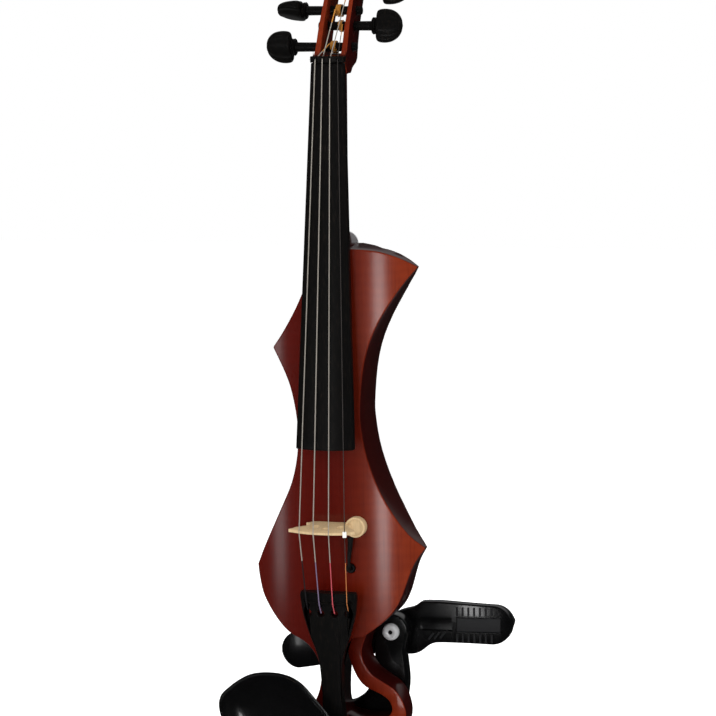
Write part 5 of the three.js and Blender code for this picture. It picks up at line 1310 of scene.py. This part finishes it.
class VIOLIN_OT_shoulder_rest(bpy.types.Operator):
    """Makes the shoulder rest's frame, ribs, slide and foam, its bracket and bolt"""

    bl_idname = "violin.shoulder_rest"
    bl_label = "Shoulder rest"

    def execute(self, context):
        sizes = context.scene.violin_rest
        self.run = through(REST_ROWS, 10)
        self.frame()
        self.ribs(sizes.rib_count, sizes.rib_width)
        settle(self.loft("slide", SLIDE_START, SLIDE_STOP, -0.3, 2.1, 24, width=5.1, soft=0.5), "rest_slide")
        pad = self.loft(
            "rest_pad_look", *self.ends(1.5), PAD_FRONT, PAD_BACK, 120, soft=3.4, inset=1.4,
            crown=sizes.pad_crown / MM)
        settle(pad, "rest_pad")
        refined("rest_post", 0.0003)
        self.bracket()
        return {"FINISHED"}

    @staticmethod
    def ends(gap):
        """Where the rest's rounded ends lie, drawn in by the gap"""
        first, last = REST_ROWS[0], REST_ROWS[-1]
        return first[0] - first[2] + gap, last[0] + last[2] - gap

    def row_at(self, x):
        run = self.run
        for one, two in zip(run, run[1:]):
            if one.x <= x <= two.x:
                return one.lerp(two, (x - one.x) / (two.x - one.x))
        return run[0] if x < run[0].x else run[-1]

    def half(self, x, inset):
        """Half the rest's width there, drawn in all round by the inset"""
        share = 1.0
        for row, way in ((REST_ROWS[0], 1), (REST_ROWS[-1], -1)):
            radius = row[2] - inset
            distance = way * (x - row[0]) + radius
            if distance < radius:
                share *= math.sqrt(max(distance * (2 * radius - distance), 0)) / radius
        return (self.row_at(x).z - inset) * share

    def loft(self, name, start, stop, front, back, steps, width=None, soft=1.2, inset=0.0, crown=0.0):
        """A bar along the rest's bow with its four long edges rounded, as wide as the rest or straight at the slide"""
        bm = bmesh.new()
        rings = []
        for i in range(steps + 1):
            x = start + (stop - start) * (0.5 - 0.5 * math.cos(math.pi * i / steps))
            middle = SLIDE_HEIGHT if width else self.row_at(x).y
            half, low, high = max(width or self.half(x, inset), 0.25), bow(x) + front, bow(x) + back
            ease = min(soft, half * 0.7, (high - low) * 0.45)
            ring = []
            for across, depth, first in ((-1, high, 90), (-1, low, 180), (1, low, 270), (1, high, 0)):
                for k in range(5):
                    angle = math.radians(first + 22.5 * k)
                    away = (ease * math.cos(angle), ease * math.sin(angle))
                    hub = (middle + across * (half - ease), depth + (ease if depth == low else -ease))
                    rise = crown * (1 - ((hub[0] + away[0] - middle) / half) ** 2) if depth == high else 0
                    sunk = crown if depth == high else 0
                    ring.append(mm(x, hub[1] + away[1] + rise - sunk, hub[0] + away[0]))
            if crown:
                ring += [mm(x, high - crown + crown * (1 - share ** 2), middle + share * (half - ease))
                         for share in (0.8, 0.5, 0.17, -0.17, -0.5, -0.8)]
            rings.append(ring)
        skin(bm, rings)
        return closed_object(bm, name, 40)

    def frame(self):
        blank = self.loft("rest_frame_look", *self.ends(0.3), 0, REST_THICKNESS, 110)
        recess = self.loft("cutter", 43.7, 68.5, -2, 2.4, 16, width=5, soft=0.4)
        channel = self.loft("cutter", SLIDE_START - 0.3, SLIDE_STOP + 0.3, -2, 2.4, 16, width=5.4, soft=0.4)
        carved(blank, recess, channel, rod(3.3, mm(BOLT_X, 0, BOLT_Z), 39, 44.9))
        settle(resmoothed(blank, 38), "rest_frame")

    @staticmethod
    def ribs(count, width):
        """Two rows of ribs beside the slide, and three slanting ones under the recess"""
        form = bevelled(block("rib", (-width / 2, -0.0011, -0.0032), (width / 2, 0.0006, 0.0032)), 0.0004)
        places, turns = [], []
        for i in range(count):
            x = SLIDE_START + (REST_ROWS[-1][0] - SLIDE_START) * i / (count - 1)
            places += [mm(x, bow(x), SLIDE_HEIGHT + side * 9.9) for side in (-1, 1)]
            turns += [(0, 0, 0)] * 2
        for i in range(3):
            x = 53 + 4.4 * i
            places.append(mm(x, bow(x), 75.2 + 0.6 * i))
            turns.append((0, math.radians(38), 0))
        settle(patterned("rest_ribs", form, places, turns, finish_of("slide_grey")), "rest_frame", slot="slide_grey")

    @staticmethod
    def bracket():
        def place(x, z):
            return Vector(mm(BOLT_X + x * BOSS_RADIUS, 0, BOLT_Z + z * BRACKET_REACH))

        boss = [Vector(mm(BOLT_X + BOSS_RADIUS * math.cos(a), 0, BOLT_Z + BOSS_RADIUS * math.sin(a)))
                for a in (math.pi * (1 - i / 40) for i in range(1, 40))]
        inner, outer = ([place(*shares) for shares in side] for side in (BRACKET_INNER, BRACKET_OUTER))
        outline = through(inner, 8) + boss + through(outer, 8)
        bm = bmesh.new()
        skin(bm, [[(p.x, depth * MM, p.z) for p in outline] for depth in BRACKET_DEPTHS])
        piece = bevelled(closed_object(bm, "rest_bracket_look", 40), 0.0016, 4, 50)
        seat, head = mm(BOLT_X, 0, BOLT_Z), mm(BOLT_X, BOLT_HEAD, BOLT_Z)
        carved(piece, rod(5.3, seat, 22.3, 33, sides=48), rod(3.3, seat, 18, 25))
        settle(resmoothed(piece, 32), "rest_bracket")
        settle(lathe("bracket_bolt_look", BOLT_PROFILE, head, sides=56), "bracket_bolt")
        # Painted shade: a black lining sits in the socket, where the dark is only shade
        settle(lathe("bolt_socket", SOCKET_SHADE_PROFILE, head, sides=24), "bracket_bolt", slot="black_satin")


SCREW_PROFILE = (
    (0, -8), (0.5, -7.8), (1.25, -6.6), (1.3, -1.5), (2.45, -0.35), (2.6, -0.15), (2.5, -0.02), (1.9, 0.0), (0, 0.0))
SCREW_TURNS = (12, 57, 33, 80)
KNOB_PROFILE = (
    (3.3, 0), (7.2, 0), (7.5, 0.3), (7.5, 1.2), (7.2, 1.5), (7.2, 7.4), (7.0, 8.3), (6.4, 8.85), (5.6, 9.0),
    (4.9, 8.7), (0, 8.55), (0, 8.3), (3.3, 8.3), (3.3, 0))
KNURL_COUNT = 36


class VIOLIN_OT_controls(bpy.types.Operator):
    """Makes the control cover with its screws, the knurled knobs, and what is under them"""

    bl_idname = "violin.controls"
    bl_label = "Cover and knobs"

    def execute(self, context):
        refined("control_cover", 0.0004, limit=40)
        self.screws()
        for node in ("volume_knob", "tone_knob"):
            self.knob(node)
        for node in ("volume_pot", "tone_pot", "circuit_board"):
            refined(node, 0.0002)
        return {"FINISHED"}

    @staticmethod
    def screws():
        """Four cross-headed screws from one form"""
        form = lathe("screw", SCREW_PROFILE, sides=32)
        for x, z in ((1.7, 0.32), (0.32, 1.7)):
            carved(form, block("cutter", mm(-x, -1.1, -z), mm(x, 1, z)))
        resmoothed(form, 30)
        nodes = [f"cover_screw_{i}" for i in (1, 2, 3, 4)]
        places = [seat_of(node, rear=True) for node in nodes]
        turns = [(0, math.radians(turn), 0) for turn in SCREW_TURNS]
        settle(patterned("cover_screws", form, places, turns, finish_of("steel")), *nodes)

    @staticmethod
    def knob(node):
        """A turned knob, its knurl and its pointer"""
        seat = seat_of(node)
        settle(lathe(f"{node}_look", KNOB_PROFILE, seat, sides=72), node)
        ridge = bevelled(block("ridge", mm(-0.28, 1.7, 6.9), mm(0.28, 7.5, 7.75)), 0.0002)
        turns = [(0, 2 * math.pi * i / KNURL_COUNT, 0) for i in range(KNURL_COUNT)]
        settle(patterned(f"{node}_knurl", ridge, [seat] * KNURL_COUNT, turns, finish_of("black_satin")), node)
        mark = block(f"{node}_mark", mm(-0.35, 8.4, 2.4), mm(0.35, 8.95, 5.4))
        mark.data.transform(Matrix.Translation(seat))
        settle(bevelled(mark, 0.00015), node, slot="sleeve")


class VIOLIN_OT_sockets(bpy.types.Operator):
    """Finishes the two sockets, the battery and its box and door"""

    bl_idname = "violin.sockets"
    bl_label = "Sockets and battery"

    def execute(self, context):
        for node in ("output_jack", "headphone_jack"):
            refined(node, 0.00025)
        for node in ("battery_box", "battery_door"):
            refined(node, 0.0004)
        refined("battery", 0.0012, 3)
        return {"FINISHED"}


SETTINGS = {
    "violin_wood": WoodSettings, "violin_fittings": FittingSettings, "violin_strings": StringSettings,
    "violin_board": BoardSettings, "violin_rest": RestSettings, "violin_stage": StageSettings,
}
OPERATORS = (
    VIOLIN_OT_stage, VIOLIN_OT_body, VIOLIN_OT_neck, VIOLIN_OT_fingerboard, VIOLIN_OT_bridge, VIOLIN_OT_tailpiece,
    VIOLIN_OT_strings, VIOLIN_OT_pegs, VIOLIN_OT_chinrest, VIOLIN_OT_shoulder_rest, VIOLIN_OT_controls,
    VIOLIN_OT_sockets,
)


class VIOLIN_PT_panel(bpy.types.Panel):
    """The violin's pieces, each with its button, and their settings"""

    bl_label = "Electric Violin"
    bl_idname = "VIOLIN_PT_panel"
    bl_space_type = "VIEW_3D"
    bl_region_type = "UI"
    bl_category = "Violin"

    def draw(self, context):
        for operator in OPERATORS:
            self.layout.operator(operator.bl_idname)
        for key, kind in SETTINGS.items():
            box = self.layout.box()
            for field in kind.__annotations__:
                box.prop(getattr(context.scene, key), field)


CLASSES = (*SETTINGS.values(), *OPERATORS, VIOLIN_PT_panel)


def register():
    for item in CLASSES:
        bpy.utils.register_class(item)
    for key, kind in SETTINGS.items():
        setattr(bpy.types.Scene, key, PointerProperty(type=kind))


def unregister():
    for key in SETTINGS:
        delattr(bpy.types.Scene, key)
    for item in reversed(CLASSES):
        bpy.utils.unregister_class(item)


def main():
    register()
    for operator in OPERATORS:
        group_name, action = operator.bl_idname.split(".")
        getattr(getattr(bpy.ops, group_name), action)()


if __name__ == "__main__":
    main()
